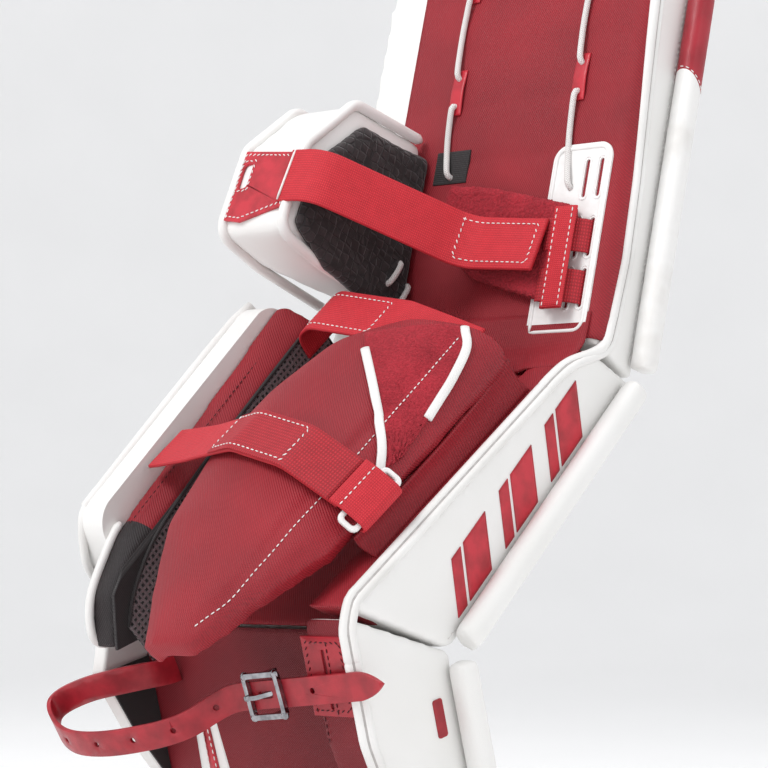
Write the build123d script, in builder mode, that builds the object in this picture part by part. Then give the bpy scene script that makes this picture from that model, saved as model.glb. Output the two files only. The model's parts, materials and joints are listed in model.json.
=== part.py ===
"""Ice-hockey goalie leg pad for the right leg, about 737 mm (29 in) along its front face.

Millimetres, +Z up. The origin is the middle of the knee break, the fold line across the front
face, where the thigh section meets the shin section. +X is lateral, away from the other leg,
and the wearer's leg lies behind the pad, towards -Y.
"""

import os
from math import cos, radians, sin

from build123d import *

# ---- Driving dimensions -------------------------------------------------------------------
THIGH_LENGTH = 342.0  # front face, knee break to top
SHIN_LENGTH = 266.0  # knee break to boot break
BOOT_LENGTH = 130.0  # boot break to toe
THIGH_TILT = 13.0  # each section's lean forward from vertical, degrees
SHIN_TILT = 45.0
BOOT_TILT = -16.5

MEDIAL_X = -140.0  # medial edge of the thigh and boot sections
CORE_LATERAL_X = 118.0  # lateral edge of the foam core
CORE_MEDIAL_X = -125.0  # medial edge of the shin and boot cores
SIDE_SKIN = 3.0  # padded synthetic leather on the sides
FACE_SKIN = 2.0  # synthetic leather on the front face
LINER = 2.0  # nylon lining on the rear
CORE_REAR = 46.0  # depth of the core behind the front face
REAR = CORE_REAR + LINER  # depth of the lined rear surface
BOARD = 2.0  # plastic stiffening sheet behind the face

KNEE_RELIEF = 4.0  # degrees taken off each side of the knee break
BOOT_RELIEF = 1.5
BREAK_GAP = 0.5  # and the plain gap at each side of a break
SEAT = 0.3  # clearance between pieces of different bodies

ROLL_WIDTH = 19.0  # segmented roll along the lateral front edge
ROLL_FRONT = -9.0
ROLL_DEPTH = 20.0
ROLL_GAP = 7.0

WALL_X = 78.0  # inner side of the lateral bolster
WALL_REAR_KNEE = 50.0  # bolster depth at the knee break
WALL_REAR_BOOT = 86.0  # and at the boot break
WALL_REAR_TOE = 66.0
BOOT_WALL_FLAT = -36.0  # the boot's bolster is level down to here, then slopes to the toe
BINDING_WIDTH = 8.0
BINDING_HEIGHT = 6.0

BOARD_THICKNESS = 26.0  # medial calf board
BOARD_REAR = 130.0
BOARD_TOP = -30.0
BOARD_FOOT = -272.0

STRAP_THICKNESS = 2.6  # elastic strap
LEATHER = 3.0  # boot strap
BOOT_STRAP_WIDTH = 19.0
LACE_DIAMETER = 4.6


# ---- Frames -------------------------------------------------------------------------------
def section_frame(tilt, origin=(0, 0, 0)):
    """Local x runs across the pad, local y up the section and local z rearward from its face."""
    return Plane(origin=origin, x_dir=(1, 0, 0), z_dir=(0, -cos(radians(tilt)), sin(radians(tilt))))


def side_plane(frame, x):
    """Sketch x runs up the section and sketch y rearward. It extrudes towards +X."""
    return Plane(origin=frame.from_local_coords((x, 0, 0)), x_dir=frame.y_dir, z_dir=frame.x_dir)


def cross_plane(frame, up, turn=0.0, x=0.0):
    """Sketch x runs across the pad and sketch y rearward. It extrudes down the section.

    turn lowers the lateral end, in degrees, for straps that cross the pad at a slant.
    """
    along = frame.x_dir * cos(radians(turn)) - frame.y_dir * sin(radians(turn))
    down = -(frame.x_dir * sin(radians(turn)) + frame.y_dir * cos(radians(turn)))
    return Plane(origin=frame.from_local_coords((x, up, 0)), x_dir=along, z_dir=down)


def break_plane(origin, tilt):
    """Cutting plane across the pad, with its normal up."""
    return Plane(origin=origin, x_dir=(1, 0, 0), z_dir=(0, sin(radians(tilt)), cos(radians(tilt))))


THIGH = section_frame(THIGH_TILT)
SHIN = section_frame(SHIN_TILT)
BOOT_BREAK = SHIN.from_local_coords((0, -SHIN_LENGTH, 0))
BOOT = section_frame(BOOT_TILT, BOOT_BREAK)
BLOCK_TILT = 23.0
BLOCK = section_frame(BLOCK_TILT)  # the knee block leans between the thigh and the shin

KNEE_MITRE = (THIGH_TILT + SHIN_TILT) / 2
BOOT_MITRE = (SHIN_TILT + BOOT_TILT) / 2
THIGH_END = break_plane(THIGH.from_local_coords((0, BREAK_GAP, 0)), KNEE_MITRE + KNEE_RELIEF)
SHIN_TOP = break_plane(SHIN.from_local_coords((0, -BREAK_GAP, 0)), KNEE_MITRE - KNEE_RELIEF)
SHIN_FOOT = break_plane(SHIN.from_local_coords((0, BREAK_GAP - SHIN_LENGTH, 0)), BOOT_MITRE + BOOT_RELIEF)
BOOT_TOP = break_plane(BOOT.from_local_coords((0, -BREAK_GAP, 0)), BOOT_MITRE - BOOT_RELIEF)

os.makedirs("parts", exist_ok=True)


def save(part, name):
    """Labels a finished piece and writes it as parts/NAME.step."""
    part.label = name
    export_step(part, f"parts/{name}.step")


def slab(name, frame, across, up, depth, corner=0.0, cuts=()):
    """A sheet or block of one section: ranges across, up and rearward, with rounded corners."""
    with BuildPart() as piece:
        with BuildSketch(frame.offset(depth[0])):
            with Locations(((across[0] + across[1]) / 2, (up[0] + up[1]) / 2)):
                Rectangle(across[1] - across[0], up[1] - up[0])
            if corner:
                fillet(vertices().group_by(Axis.Y)[-1], corner)
        extrude(amount=depth[1] - depth[0])
        for plane, keep in cuts:
            split(bisect_by=plane, keep=keep)
    save(piece.part, name)


def side_prism(name, frame, across, outline, corner=0.0, cuts=()):
    """A piece drawn in side view, as points (up, rearward), and extruded across the pad."""
    with BuildPart() as piece:
        with BuildSketch(side_plane(frame, across[0])):
            with BuildLine():
                Polyline(*outline, close=True)
            make_face()
            if corner:
                fillet(vertices(), corner)
        extrude(amount=across[1] - across[0])
        for plane, keep in cuts:
            split(bisect_by=plane, keep=keep)
    save(piece.part, name)


ABOVE_KNEE = ((THIGH_END, Keep.TOP),)
BETWEEN_BREAKS = ((SHIN_TOP, Keep.BOTTOM), (SHIN_FOOT, Keep.TOP))
BELOW_BOOT = ((BOOT_TOP, Keep.BOTTOM),)
OVERRUN = 120.0  # how far a blank runs past a break before it is mitred

# ---- Thigh section ------------------------------------------------------------------------
TOP_CORNER = 45.0
THIGH_UP = (-OVERRUN, THIGH_LENGTH)
EDGE_BAND_X = -103.0  # inner edge of the white band on the medial side of the rear

slab("thigh_face", THIGH, (MEDIAL_X, CORE_LATERAL_X), THIGH_UP, (0, FACE_SKIN), TOP_CORNER, ABOVE_KNEE)
slab("thigh_board", THIGH, (MEDIAL_X, CORE_LATERAL_X), THIGH_UP, (FACE_SKIN, FACE_SKIN + BOARD),
     TOP_CORNER, ABOVE_KNEE)
slab("thigh_core", THIGH, (MEDIAL_X, CORE_LATERAL_X), THIGH_UP, (FACE_SKIN + BOARD, CORE_REAR),
     TOP_CORNER, ABOVE_KNEE)

with BuildPart() as thigh_lining:
    with BuildSketch(THIGH.offset(CORE_REAR)):
        with Locations(((MEDIAL_X + CORE_LATERAL_X) / 2, (THIGH_LENGTH - OVERRUN) / 2)):
            Rectangle(CORE_LATERAL_X - MEDIAL_X, THIGH_LENGTH + OVERRUN)
        fillet(vertices().group_by(Axis.Y)[-1], TOP_CORNER)
    extrude(amount=LINER)
    split(bisect_by=THIGH_END, keep=Keep.TOP)
seam_cut = Plane(origin=THIGH.from_local_coords((EDGE_BAND_X, 0, 0)), x_dir=THIGH.y_dir, z_dir=(1, 0, 0))
save(thigh_lining.part.split(seam_cut, keep=Keep.TOP), "thigh_rear_panel")
save(thigh_lining.part.split(seam_cut, keep=Keep.BOTTOM), "thigh_medial_band")

SIDE_RANGE = (CORE_LATERAL_X, CORE_LATERAL_X + SIDE_SKIN)
side_prism("thigh_side", THIGH, SIDE_RANGE,
           ((-OVERRUN, 0), (THIGH_LENGTH - TOP_CORNER, 0), (THIGH_LENGTH - TOP_CORNER, REAR),
            (-OVERRUN, REAR)), cuts=ABOVE_KNEE)


def edge_binding(name, frame, up, rear, cuts):
    """Piping over the lateral rear edge; rear gives its seat depth at the two ends of up."""
    seat = ((up[0], rear[0]), (up[1], rear[1]), (up[1], rear[1] + BINDING_HEIGHT),
            (up[0], rear[0] + BINDING_HEIGHT))
    side_prism(name, frame, (SIDE_RANGE[1] - BINDING_WIDTH, SIDE_RANGE[1]), seat, cuts=cuts)


edge_binding("thigh_binding", THIGH, (-OVERRUN, THIGH_LENGTH - TOP_CORNER), (REAR, REAR), ABOVE_KNEE)

ROLL_X = (SIDE_RANGE[1], SIDE_RANGE[1] + ROLL_WIDTH)
ROLL_TIP_SPLIT = 220.0  # where the coloured top of the thigh roll starts


def roll(name, frame, up):
    """One segment of the lateral roll, a rounded bar between two heights."""
    with BuildPart() as segment:
        with BuildSketch(cross_plane(frame, up[1])):
            with Locations(((ROLL_X[0] + ROLL_X[1]) / 2, ROLL_FRONT + ROLL_DEPTH / 2)):
                RectangleRounded(ROLL_WIDTH, ROLL_DEPTH, 0.42 * ROLL_WIDTH)
        extrude(amount=up[1] - up[0])
    save(segment.part, name)


roll("thigh_roll", THIGH, (ROLL_GAP, ROLL_TIP_SPLIT))
roll("thigh_roll_tip", THIGH, (ROLL_TIP_SPLIT, THIGH_LENGTH - TOP_CORNER))

# Lace tabs are short leather strips with a lace hole near each end.
TAB_WIDTH = 12.0
TAB_LENGTH = 34.0
TAB_THICKNESS = 1.6
TAB_HOLES = 22.0  # between the two holes of a tab
LEFT_LACE_X = -50.0
RIGHT_LACE_X = 70.0
TAB_HEIGHTS = (219.0, 310.0)

with BuildPart() as lace_tabs:
    with BuildSketch(THIGH.offset(REAR)):
        with Locations([(x, up) for x in (LEFT_LACE_X, RIGHT_LACE_X) for up in TAB_HEIGHTS]):
            SlotOverall(TAB_LENGTH, TAB_WIDTH, rotation=90)
            with Locations((0, TAB_HOLES / 2), (0, -TAB_HOLES / 2)):
                Circle(LACE_DIAMETER / 2 + SEAT, mode=Mode.SUBTRACT)
    extrude(amount=TAB_THICKNESS)
save(lace_tabs.part, "lace_tabs")

FELT_THICKNESS = 2.0
FELT = (-60.0, -27.0, 146.0, 172.0)  # left, right, low and high edges
FELT_HOLE = (LEFT_LACE_X + 7, FELT[2] + 5)
with BuildPart() as felt_patch:
    with BuildSketch(THIGH.offset(REAR)):
        with Locations(((FELT[0] + FELT[1]) / 2, (FELT[2] + FELT[3]) / 2)):
            Rectangle(FELT[1] - FELT[0], FELT[3] - FELT[2])
        with Locations(FELT_HOLE):
            Circle(LACE_DIAMETER / 2 + SEAT, mode=Mode.SUBTRACT)
    extrude(amount=FELT_THICKNESS)
save(felt_patch.part, "felt_patch")

# The slotted plate takes the knee wrap's webbing; the columns of slots adjust it.
PLATE_THICKNESS = 2.4
PLATE_X = (58.0, 112.5)
PLATE_UP = (21.0, 166.0)
SLOT_LENGTH = 29.0
SLOT_WIDTH = 3.6
SLOT_COLUMNS = (91.0, 104.0)
SLOT_ROWS = (56.0, 94.0, 139.0)
PLATE_CORNER = 12.0
PLATE_LACE_HOLE = (RIGHT_LACE_X + 8, 133.0)

with BuildPart() as slotted_plate:
    with BuildSketch(THIGH.offset(REAR)):
        with Locations(((PLATE_X[0] + PLATE_X[1]) / 2, (PLATE_UP[0] + PLATE_UP[1]) / 2)):
            Rectangle(PLATE_X[1] - PLATE_X[0], PLATE_UP[1] - PLATE_UP[0])
        fillet(vertices().group_by(Axis.Y)[-1], PLATE_CORNER)
        with Locations([(x, up) for x in SLOT_COLUMNS for up in SLOT_ROWS]):
            SlotOverall(SLOT_LENGTH, SLOT_WIDTH, rotation=90, mode=Mode.SUBTRACT)
        with Locations(PLATE_LACE_HOLE):
            Circle(LACE_DIAMETER / 2 + SEAT, mode=Mode.SUBTRACT)
    extrude(amount=PLATE_THICKNESS)
save(slotted_plate.part, "slotted_plate")


LACE_LIFT = 6.6  # height of a lace's centre line over the rear panel
LACE_BEND = 3.6
LACE_BOW = -4.0  # sideways bow at the middle of each run


def lace(name, runs):
    """Round lace that rises out of one hole (x, up), runs over the panel and drops into another."""
    with BuildPart() as cord:
        for first, last in runs:
            middle = ((first[0] + last[0]) / 2 + LACE_BOW, (first[1] + last[1]) / 2)
            route = [(*first, REAR)]
            route += [(*point, REAR + LACE_LIFT) for point in (first, middle, last)]
            route += [(*last, REAR)]
            with BuildLine():
                path = FilletPolyline(*(THIGH.from_local_coords(p) for p in route), radius=LACE_BEND)
            with BuildSketch(Plane(origin=path @ 0, z_dir=path % 0)):
                Circle(LACE_DIAMETER / 2)
            sweep(path=path)
    save(cord.part, name)


def tab_hole(x, tab, side):
    """Place of a tab's lace hole, side 1 for its upper hole and -1 for its lower one."""
    return (x, tab + side * TAB_HOLES / 2)


LOW_TAB, HIGH_TAB = TAB_HEIGHTS
for lace_name, lace_x, foot in (("left_lace", LEFT_LACE_X, FELT_HOLE),
                                ("right_lace", RIGHT_LACE_X, PLATE_LACE_HOLE)):
    lace(lace_name, ((foot, tab_hole(lace_x, LOW_TAB, -1)),
                     (tab_hole(lace_x, LOW_TAB, 1), tab_hole(lace_x, HIGH_TAB, -1))))

# ---- Shin section -------------------------------------------------------------------------
SHIN_UP = (-SHIN_LENGTH - OVERRUN, OVERRUN)
slab("shin_face", SHIN, (CORE_MEDIAL_X, CORE_LATERAL_X), SHIN_UP, (0, FACE_SKIN), cuts=BETWEEN_BREAKS)
slab("shin_core", SHIN, (CORE_MEDIAL_X, CORE_LATERAL_X), SHIN_UP, (FACE_SKIN, CORE_REAR),
     cuts=BETWEEN_BREAKS)
slab("channel_liner", SHIN, (CORE_MEDIAL_X, WALL_X), SHIN_UP, (CORE_REAR, REAR), cuts=BETWEEN_BREAKS)

# The bolster's rear edge rises from the knee break to the boot break on a straight line.
WALL_TOP = -18.0
WALL_FOOT = -SHIN_LENGTH - 46.0
WALL_SLOPE = (WALL_REAR_BOOT - WALL_REAR_KNEE) / (WALL_FOOT - WALL_TOP)


def wall_rear(up):
    """Depth of the lateral bolster's lined rear surface at a height on the shin."""
    return WALL_REAR_KNEE + WALL_SLOPE * (up - WALL_TOP)


low, high = SHIN_UP
BOLSTER_TOP = -5.0
side_prism("shin_bolster", SHIN, (WALL_X, CORE_LATERAL_X),
           ((low, CORE_REAR), (BOLSTER_TOP, CORE_REAR), (BOLSTER_TOP, wall_rear(BOLSTER_TOP) - LINER),
            (low, wall_rear(low) - LINER)), cuts=BETWEEN_BREAKS)
side_prism("bolster_cover", SHIN, (WALL_X, CORE_LATERAL_X),
           ((low, wall_rear(low) - LINER), (0, wall_rear(0) - LINER), (0, wall_rear(0)),
            (low, wall_rear(low))), cuts=BETWEEN_BREAKS)
side_prism("shin_side", SHIN, SIDE_RANGE,
           ((low, 0), (high, 0), (high, wall_rear(0)), (0, wall_rear(0)), (low, wall_rear(low))),
           cuts=BETWEEN_BREAKS)
edge_binding("shin_binding", SHIN, (low, 0), (wall_rear(low), wall_rear(0)), BETWEEN_BREAKS)
roll("shin_roll", SHIN, (ROLL_GAP - SHIN_LENGTH, -ROLL_GAP))

BOARD_CORNER = 22.0
BOARD_REAR_FOOT = -290.0
with BuildPart() as medial_board:
    with BuildSketch(side_plane(SHIN, CORE_MEDIAL_X - BOARD_THICKNESS)):
        with BuildLine():
            Polyline((BOARD_TOP, 0), (BOARD_TOP - 8, BOARD_REAR), (BOARD_FOOT, BOARD_REAR),
                     (BOARD_REAR_FOOT, BOARD_REAR - 50), (BOARD_FOOT + 12, 0), close=True)
        make_face()
        rear_corners = vertices().group_by(Axis.Y)[-1]
        fillet(rear_corners, BOARD_CORNER)
    extrude(amount=BOARD_THICKNESS)
    split(bisect_by=SHIN_FOOT, keep=Keep.TOP)
save(medial_board.part, "medial_board")

# ---- Medial calf wing, which swings on the channel's medial edge ----------------------------
WING_THICKNESS = 24.0
WING_BEVEL = 24.0  # how far the rear edge slopes forward at the wing's inner side
WING_LIP = 4.0  # flat left at its outer side
WING_LINER = 3.0
WING_X = CORE_MEDIAL_X + SEAT
WING_REAR = 124.0
WING_TOP = -34.0
WING_BASE = REAR + SEAT
WING_FOOT = -SHIN_LENGTH - 34.0
WING_OUTLINE = ((WING_TOP, WING_BASE), (WING_TOP, WING_REAR - 4), (WING_TOP - 8, WING_REAR),
                (-272.0, WING_REAR - 12), (-316.0, WING_REAR - 28), (-340.0, WING_REAR - 58),
                (WING_FOOT, WING_BASE))
bevel_start = SHIN.from_local_coords((WING_X + WING_LIP, 0, WING_REAR))
bevel_dir = SHIN.x_dir * (WING_THICKNESS + WING_LINER - WING_LIP) - SHIN.z_dir * WING_BEVEL
BEVEL = Plane(origin=bevel_start, x_dir=SHIN.y_dir, z_dir=SHIN.y_dir.cross(bevel_dir.normalized()))
outer_side = BEVEL.to_local_coords(SHIN.from_local_coords((WING_X, 0, 0))).Z
BEVEL_CUT = ((BEVEL, Keep.BOTTOM if outer_side < 0 else Keep.TOP),)
wing_inner_x = WING_X + WING_THICKNESS
side_prism("wing_pad", SHIN, (WING_X, wing_inner_x), WING_OUTLINE, cuts=BEVEL_CUT)
side_prism("wing_liner", SHIN, (wing_inner_x, wing_inner_x + WING_LINER), WING_OUTLINE, cuts=BEVEL_CUT)

# ---- Lateral calf wrap --------------------------------------------------------------------
# Each station of the wrap is (up, lateral edge, crown, medial edge), the points as (x, rearward).
WRAP_THICKNESS = 18.0
WRAP_STATIONS = (
    (-52.0, (104, 96), (92, 112), (74, 116)),
    (-72.0, (108, 92), (76, 130), (30, 134)),
    (-110.0, (108, 92), (56, 142), (-16, 132)),
    (-160.0, (106, 95), (42, 148), (-44, 128)),
    (-225.0, (104, 101), (30, 152), (-52, 130)),
    (-285.0, (98, 106), (28, 146), (-50, 124)),
    (-335.0, (80, 118), (22, 132), (-34, 110)),
    (-366.0, (40, 112), (14, 114), (-12, 104)),
)
PATCH_THICKNESS = 1.5  # brushed loop patch on the wrap's outer side
PATCH_SHARE = (0.12, 0.88)  # the part of the wrap's arc that it covers
DEEPEST = 0.45  # a layer goes no deeper than this share of the wrap's width


def inward(point, centre, amount):
    """The point moved towards the leg by an amount, square to the wrap's arc."""
    away = Vector(*point) - Vector(*centre)
    return tuple((Vector(*point) - away.normalized() * amount))[:2]


def wrap_section(lateral, crown, medial, outer, inner, share):
    """Corner points of one section of the wrap: an outer and an inner three-point arc."""
    centre = ((lateral[0] + medial[0]) / 2, min(lateral[1], medial[1]) - 60)
    outline = ThreePointArc(lateral, crown, medial)
    spots = [outline @ s for s in (share[0], (share[0] + share[1]) / 2, share[1])]
    return [inward(p, centre, outer) for p in spots], [inward(p, centre, inner) for p in reversed(spots)]


def wrap_layer(name, stations, outer, inner, share=(0.0, 1.0)):
    """A layer of the wrap lofted through stations, between two depths below its outer surface."""
    rings = []
    for up, lateral, crown, medial in stations:
        deep = min(inner, DEEPEST * (lateral[0] - medial[0]))
        rings.append((up, *wrap_section(lateral, crown, medial, outer, deep, share)))
    with BuildPart() as layer:
        for up, near, far in rings:
            with BuildSketch(cross_plane(SHIN, up)):
                with BuildLine():
                    front = ThreePointArc(*near)
                    back = ThreePointArc(*far)
                    Line(front @ 1, back @ 0)
                    Line(back @ 1, front @ 0)
                make_face()
        loft(ruled=True)
    save(layer.part, name)


wrap_layer("wrap_pad", WRAP_STATIONS, 0.0, WRAP_THICKNESS)
wrap_layer("wrap_loop_patch", WRAP_STATIONS[1:4], -PATCH_THICKNESS, 0.0, PATCH_SHARE)

# A strip of nylon along the wrap's lateral edge is what it bends on, over the bolster.
STRIP_X = (108.2, 109.8)
STRIP_TOP = (-70.0, 92.0)  # its rear edge at each end, as (up, rearward)
STRIP_FOOT = (-270.0, 99.0)
side_prism("wrap_hinge_strip", SHIN, STRIP_X,
           ((STRIP_TOP[0], wall_rear(STRIP_TOP[0]) + SEAT), (STRIP_FOOT[0], wall_rear(STRIP_FOOT[0]) + SEAT),
            STRIP_FOOT, STRIP_TOP))

# The upper strap is sewn inside the wrap's nose and reaches across to the wing.
ARCH_WIDTH = 42.0
ARCH = ((-92.5, 90.0), (-90.5, 110.0), (-72.0, 119.0), (0.0, 111.0), (60.0, 88.0))
ARCH_UP = -54.0
ARCH_TURN = 7.0


def band(name, frame, up, turn, route, width, thickness, bend=14.0):
    """A flat strap over a route of (x, rearward) points on its inner side, its width up the pad."""
    plane = cross_plane(frame, up, turn).offset(-width / 2)
    with BuildPart() as strap:
        with BuildSketch(plane):
            with BuildLine():
                path = FilletPolyline(*route, radius=bend)
                offset(path, thickness, side=Side.LEFT)
            make_face()
        extrude(amount=width)
    save(strap.part, name)


band("upper_strap", SHIN, ARCH_UP, ARCH_TURN, ARCH, ARCH_WIDTH, STRAP_THICKNESS)

# ---- Calf strap, its ring and the ring's keeper --------------------------------------------
CALF_UP = -222.0
CALF_TURN = 11.0
CALF_WIDTH = 38.0
CALF_ROUTE = ((-123.0, 126.5), (-104.0, 126.5), (-60.0, 138.0), (12.0, 160.0), (62.0, 153.0),
              (99.0, 123.0))
CALF_BEND = 12.0
HOOK_LAYER = 1.6
CALF_HOOK = ((-20.0, 153.0), (12.0, 163.0), (63.0, 156.0), (96.0, 129.5))
band("calf_strap", SHIN, CALF_UP, CALF_TURN, CALF_ROUTE, CALF_WIDTH, STRAP_THICKNESS, CALF_BEND)
band("calf_strap_hook", SHIN, CALF_UP, CALF_TURN, CALF_HOOK, CALF_WIDTH, HOOK_LAYER, CALF_BEND)

RING_WIRE = 4.0
RING_FAR = (104.5, 119.5)  # the bar the strap turns on, as (x, rearward)
RING_NEAR = (112.5, 109.5)  # the bar in the keeper
RING_LENGTH = 48.0
KEEPER_WIDTH = 28.0
KEEPER_WALL = 1.4
ring_plane = cross_plane(SHIN, CALF_UP, CALF_TURN)
ring_middle = ((RING_FAR[0] + RING_NEAR[0]) / 2, (RING_FAR[1] + RING_NEAR[1]) / 2, 0)
ring_across = Vector(RING_FAR[0] - RING_NEAR[0], RING_FAR[1] - RING_NEAR[1], 0)
ring_slope = ring_plane.x_dir * ring_across.X + ring_plane.y_dir * ring_across.Y
ring_flat = Plane(origin=ring_plane.from_local_coords(ring_middle), x_dir=ring_plane.z_dir,
                  z_dir=ring_plane.z_dir.cross(ring_slope))
RING_CORNER = 5.0
RING_WINDOW_CORNER = 2.0

with BuildPart() as strap_ring:
    with BuildSketch(ring_flat.offset(-RING_WIRE / 2)):
        RectangleRounded(RING_LENGTH + RING_WIRE, ring_across.length + RING_WIRE, RING_CORNER)
        RectangleRounded(RING_LENGTH - RING_WIRE, ring_across.length - RING_WIRE,
                         RING_WINDOW_CORNER, mode=Mode.SUBTRACT)
    extrude(amount=RING_WIRE)
    fillet(edges(), 0.4 * RING_WIRE)
save(strap_ring.part, "strap_ring")


def between(first, second, share):
    """The wrap station part of the way from one station to the next."""
    pairs = zip(first[1:], second[1:])
    points = [tuple(Vector(*p) + (Vector(*q) - Vector(*p)) * share)[:2] for p, q in pairs]
    return (first[0] + (second[0] - first[0]) * share, *points)


keeper_station = between(WRAP_STATIONS[4], WRAP_STATIONS[5], 0.28)
KEEPER_RISE = 2.6  # above the wrap's outer surface
KEEPER_SHARE = (0.0, 0.1)  # the part of the wrap's arc that it is sewn along
keeper_neck = (RING_NEAR[0] - 2, RING_NEAR[1] + 2)
stretch = 1 / cos(radians(CALF_TURN))
keeper_seat, keeper_back = wrap_section(*keeper_station[1:], -KEEPER_RISE, -KEEPER_RISE - KEEPER_WALL,
                                        KEEPER_SHARE)
keeper_seat = [(x * stretch, rear) for x, rear in keeper_seat]
keeper_back = [(x * stretch, rear) for x, rear in keeper_back]
with BuildPart() as ring_keeper:
    with BuildSketch(ring_plane.offset(-KEEPER_WIDTH / 2)):
        with Locations(RING_NEAR):
            Circle(RING_WIRE / 2 + SEAT + KEEPER_WALL)
        with BuildLine():
            Polyline(*keeper_seat, *keeper_back[:2], keeper_neck, RING_NEAR, close=True)
        make_face()
        with Locations(RING_NEAR):
            Circle(RING_WIRE / 2 + SEAT, mode=Mode.SUBTRACT)
    extrude(amount=KEEPER_WIDTH)
save(ring_keeper.part, "ring_keeper")

# ---- Knee block ---------------------------------------------------------------------------
BLOCK_X = (-141.0, -76.0)
BLOCK_REAR = 190.0
BLOCK_OUTLINE = ((52, 40), (34, 144), (38, BLOCK_REAR), (108, BLOCK_REAR), (160, 158), (174, 40))
BLOCK_CORNER = 8.0
CUSHION_THICKNESS = 9.0
CUSHION_OUTLINE = ((22, 40), (28, 140), (46, 182), (100, 182), (146, 150), (164, 40))
THIGH_SEAT = ((THIGH.offset(REAR), Keep.TOP),)
side_prism("knee_block", BLOCK, BLOCK_X, BLOCK_OUTLINE, BLOCK_CORNER, THIGH_SEAT)
cushion_x = BLOCK_X[1] + CUSHION_THICKNESS
side_prism("block_cushion", BLOCK, (BLOCK_X[1], cushion_x), CUSHION_OUTLINE, BLOCK_CORNER, THIGH_SEAT)

# Two short lace loops tie the cushion down near its foot.
LOOP_SPOTS = ((58.0, 80.0), (46.0, 66.0))
LOOP_SPAN = 20.0  # along each loop, between its two holes
LOOP_LIFT = 5.0
LOOP_SLANT = -0.3
with BuildPart() as cushion_laces:
    for up, rear in LOOP_SPOTS:
        route = [BLOCK.from_local_coords((cushion_x + lift, up + run, rear + LOOP_SLANT * run))
                 for run, lift in ((-LOOP_SPAN / 2, 0), (-LOOP_SPAN / 2, LOOP_LIFT),
                                   (LOOP_SPAN / 2, LOOP_LIFT), (LOOP_SPAN / 2, 0))]
        with BuildLine():
            path = FilletPolyline(*route, radius=3)
        with BuildSketch(Plane(origin=path @ 0, z_dir=path % 0)):
            Circle(LACE_DIAMETER / 2)
        sweep(path=path)
save(cushion_laces.part, "cushion_laces")

# The tab on the block's rear end is the fixed end of the knee strap.
STRAP_TAB_OUTLINE = ((-138, 48), (-138, 106), (-78, 100), (-78, 56), (-120, 45))  # (x, up)
STRAP_TAB_THICKNESS = 2.4
TAB_WINDOW = (-129.0, 84.0)
with BuildPart() as strap_tab:
    with BuildSketch(BLOCK.offset(BLOCK_REAR)):
        with BuildLine():
            Polyline(*STRAP_TAB_OUTLINE, close=True)
        make_face()
        with Locations(TAB_WINDOW):
            RectangleRounded(9, 20, 3, mode=Mode.SUBTRACT)
    extrude(amount=STRAP_TAB_THICKNESS)
save(strap_tab.part, "strap_tab")

# ---- Knee strap and fleece knee wrap --------------------------------------------------------
KNEE_STRAP_WIDTH = 42.0
KNEE_STRAP_UP = 75.0
KNEE_STRAP_TURN = 3.0
KNEE_STRAP_BEND = 24.0
strap_level = BLOCK_REAR + STRAP_TAB_THICKNESS + SEAT
KNEE_STRAP = ((-84.0, strap_level), (-52.0, strap_level), (6.0, 86.0), (74.0, 80.8))
band("knee_strap", BLOCK, KNEE_STRAP_UP, KNEE_STRAP_TURN, KNEE_STRAP, KNEE_STRAP_WIDTH,
     STRAP_THICKNESS, KNEE_STRAP_BEND)

WRAP_UNDER = PLATE_THICKNESS + 0.4  # the wrap's webbing hangs just clear of the plate
WEBBING = 1.4
WEBBING_WIDTH = 25.0
FLEECE = 9.0
FLEECE_LEVEL = REAR + WRAP_UNDER + WEBBING
FLEECE_OUTLINE = ((-36, 142), (12, 136), (94, 116), (90, 40), (62, 48), (2, 66), (-34, 98))
with BuildPart() as fleece_pad:
    with BuildSketch(THIGH.offset(FLEECE_LEVEL)):
        with BuildLine():
            Polyline(*FLEECE_OUTLINE, close=True)
        make_face()
        fillet(vertices(), 6)
    extrude(amount=FLEECE)
    rear_face = faces().sort_by_distance(THIGH.from_local_coords((20, 90, 200)))[0]
    fillet(rear_face.edges(), 3)
save(fleece_pad.part, "fleece_pad")

END_TRIM_X = (80.0, 96.0)
END_TRIM_UP = (38.0, 116.0)
END_TRIM = 2.0
trim_level = FLEECE_LEVEL + FLEECE
slab("wrap_end_trim", THIGH, END_TRIM_X, END_TRIM_UP, (trim_level, trim_level + END_TRIM))

WEBBING_START = 70.0
with BuildPart() as wrap_webbing:
    with BuildSketch(THIGH.offset(FLEECE_LEVEL - WEBBING)):
        with Locations([((WEBBING_START + SLOT_COLUMNS[1]) / 2, up) for up in SLOT_ROWS[:2]]):
            Rectangle(SLOT_COLUMNS[1] - WEBBING_START, WEBBING_WIDTH)
    extrude(amount=WEBBING)
save(wrap_webbing.part, "wrap_webbing")

# ---- Boot section -------------------------------------------------------------------------
BOOT_UP = (-BOOT_LENGTH, OVERRUN)
slab("boot_face", BOOT, (CORE_MEDIAL_X, CORE_LATERAL_X), BOOT_UP, (0, FACE_SKIN), cuts=BELOW_BOOT)
slab("boot_core", BOOT, (CORE_MEDIAL_X, CORE_LATERAL_X), BOOT_UP, (FACE_SKIN, CORE_REAR), cuts=BELOW_BOOT)
slab("boot_liner", BOOT, (CORE_MEDIAL_X, WALL_X), BOOT_UP, (CORE_REAR, REAR), cuts=BELOW_BOOT)

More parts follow.
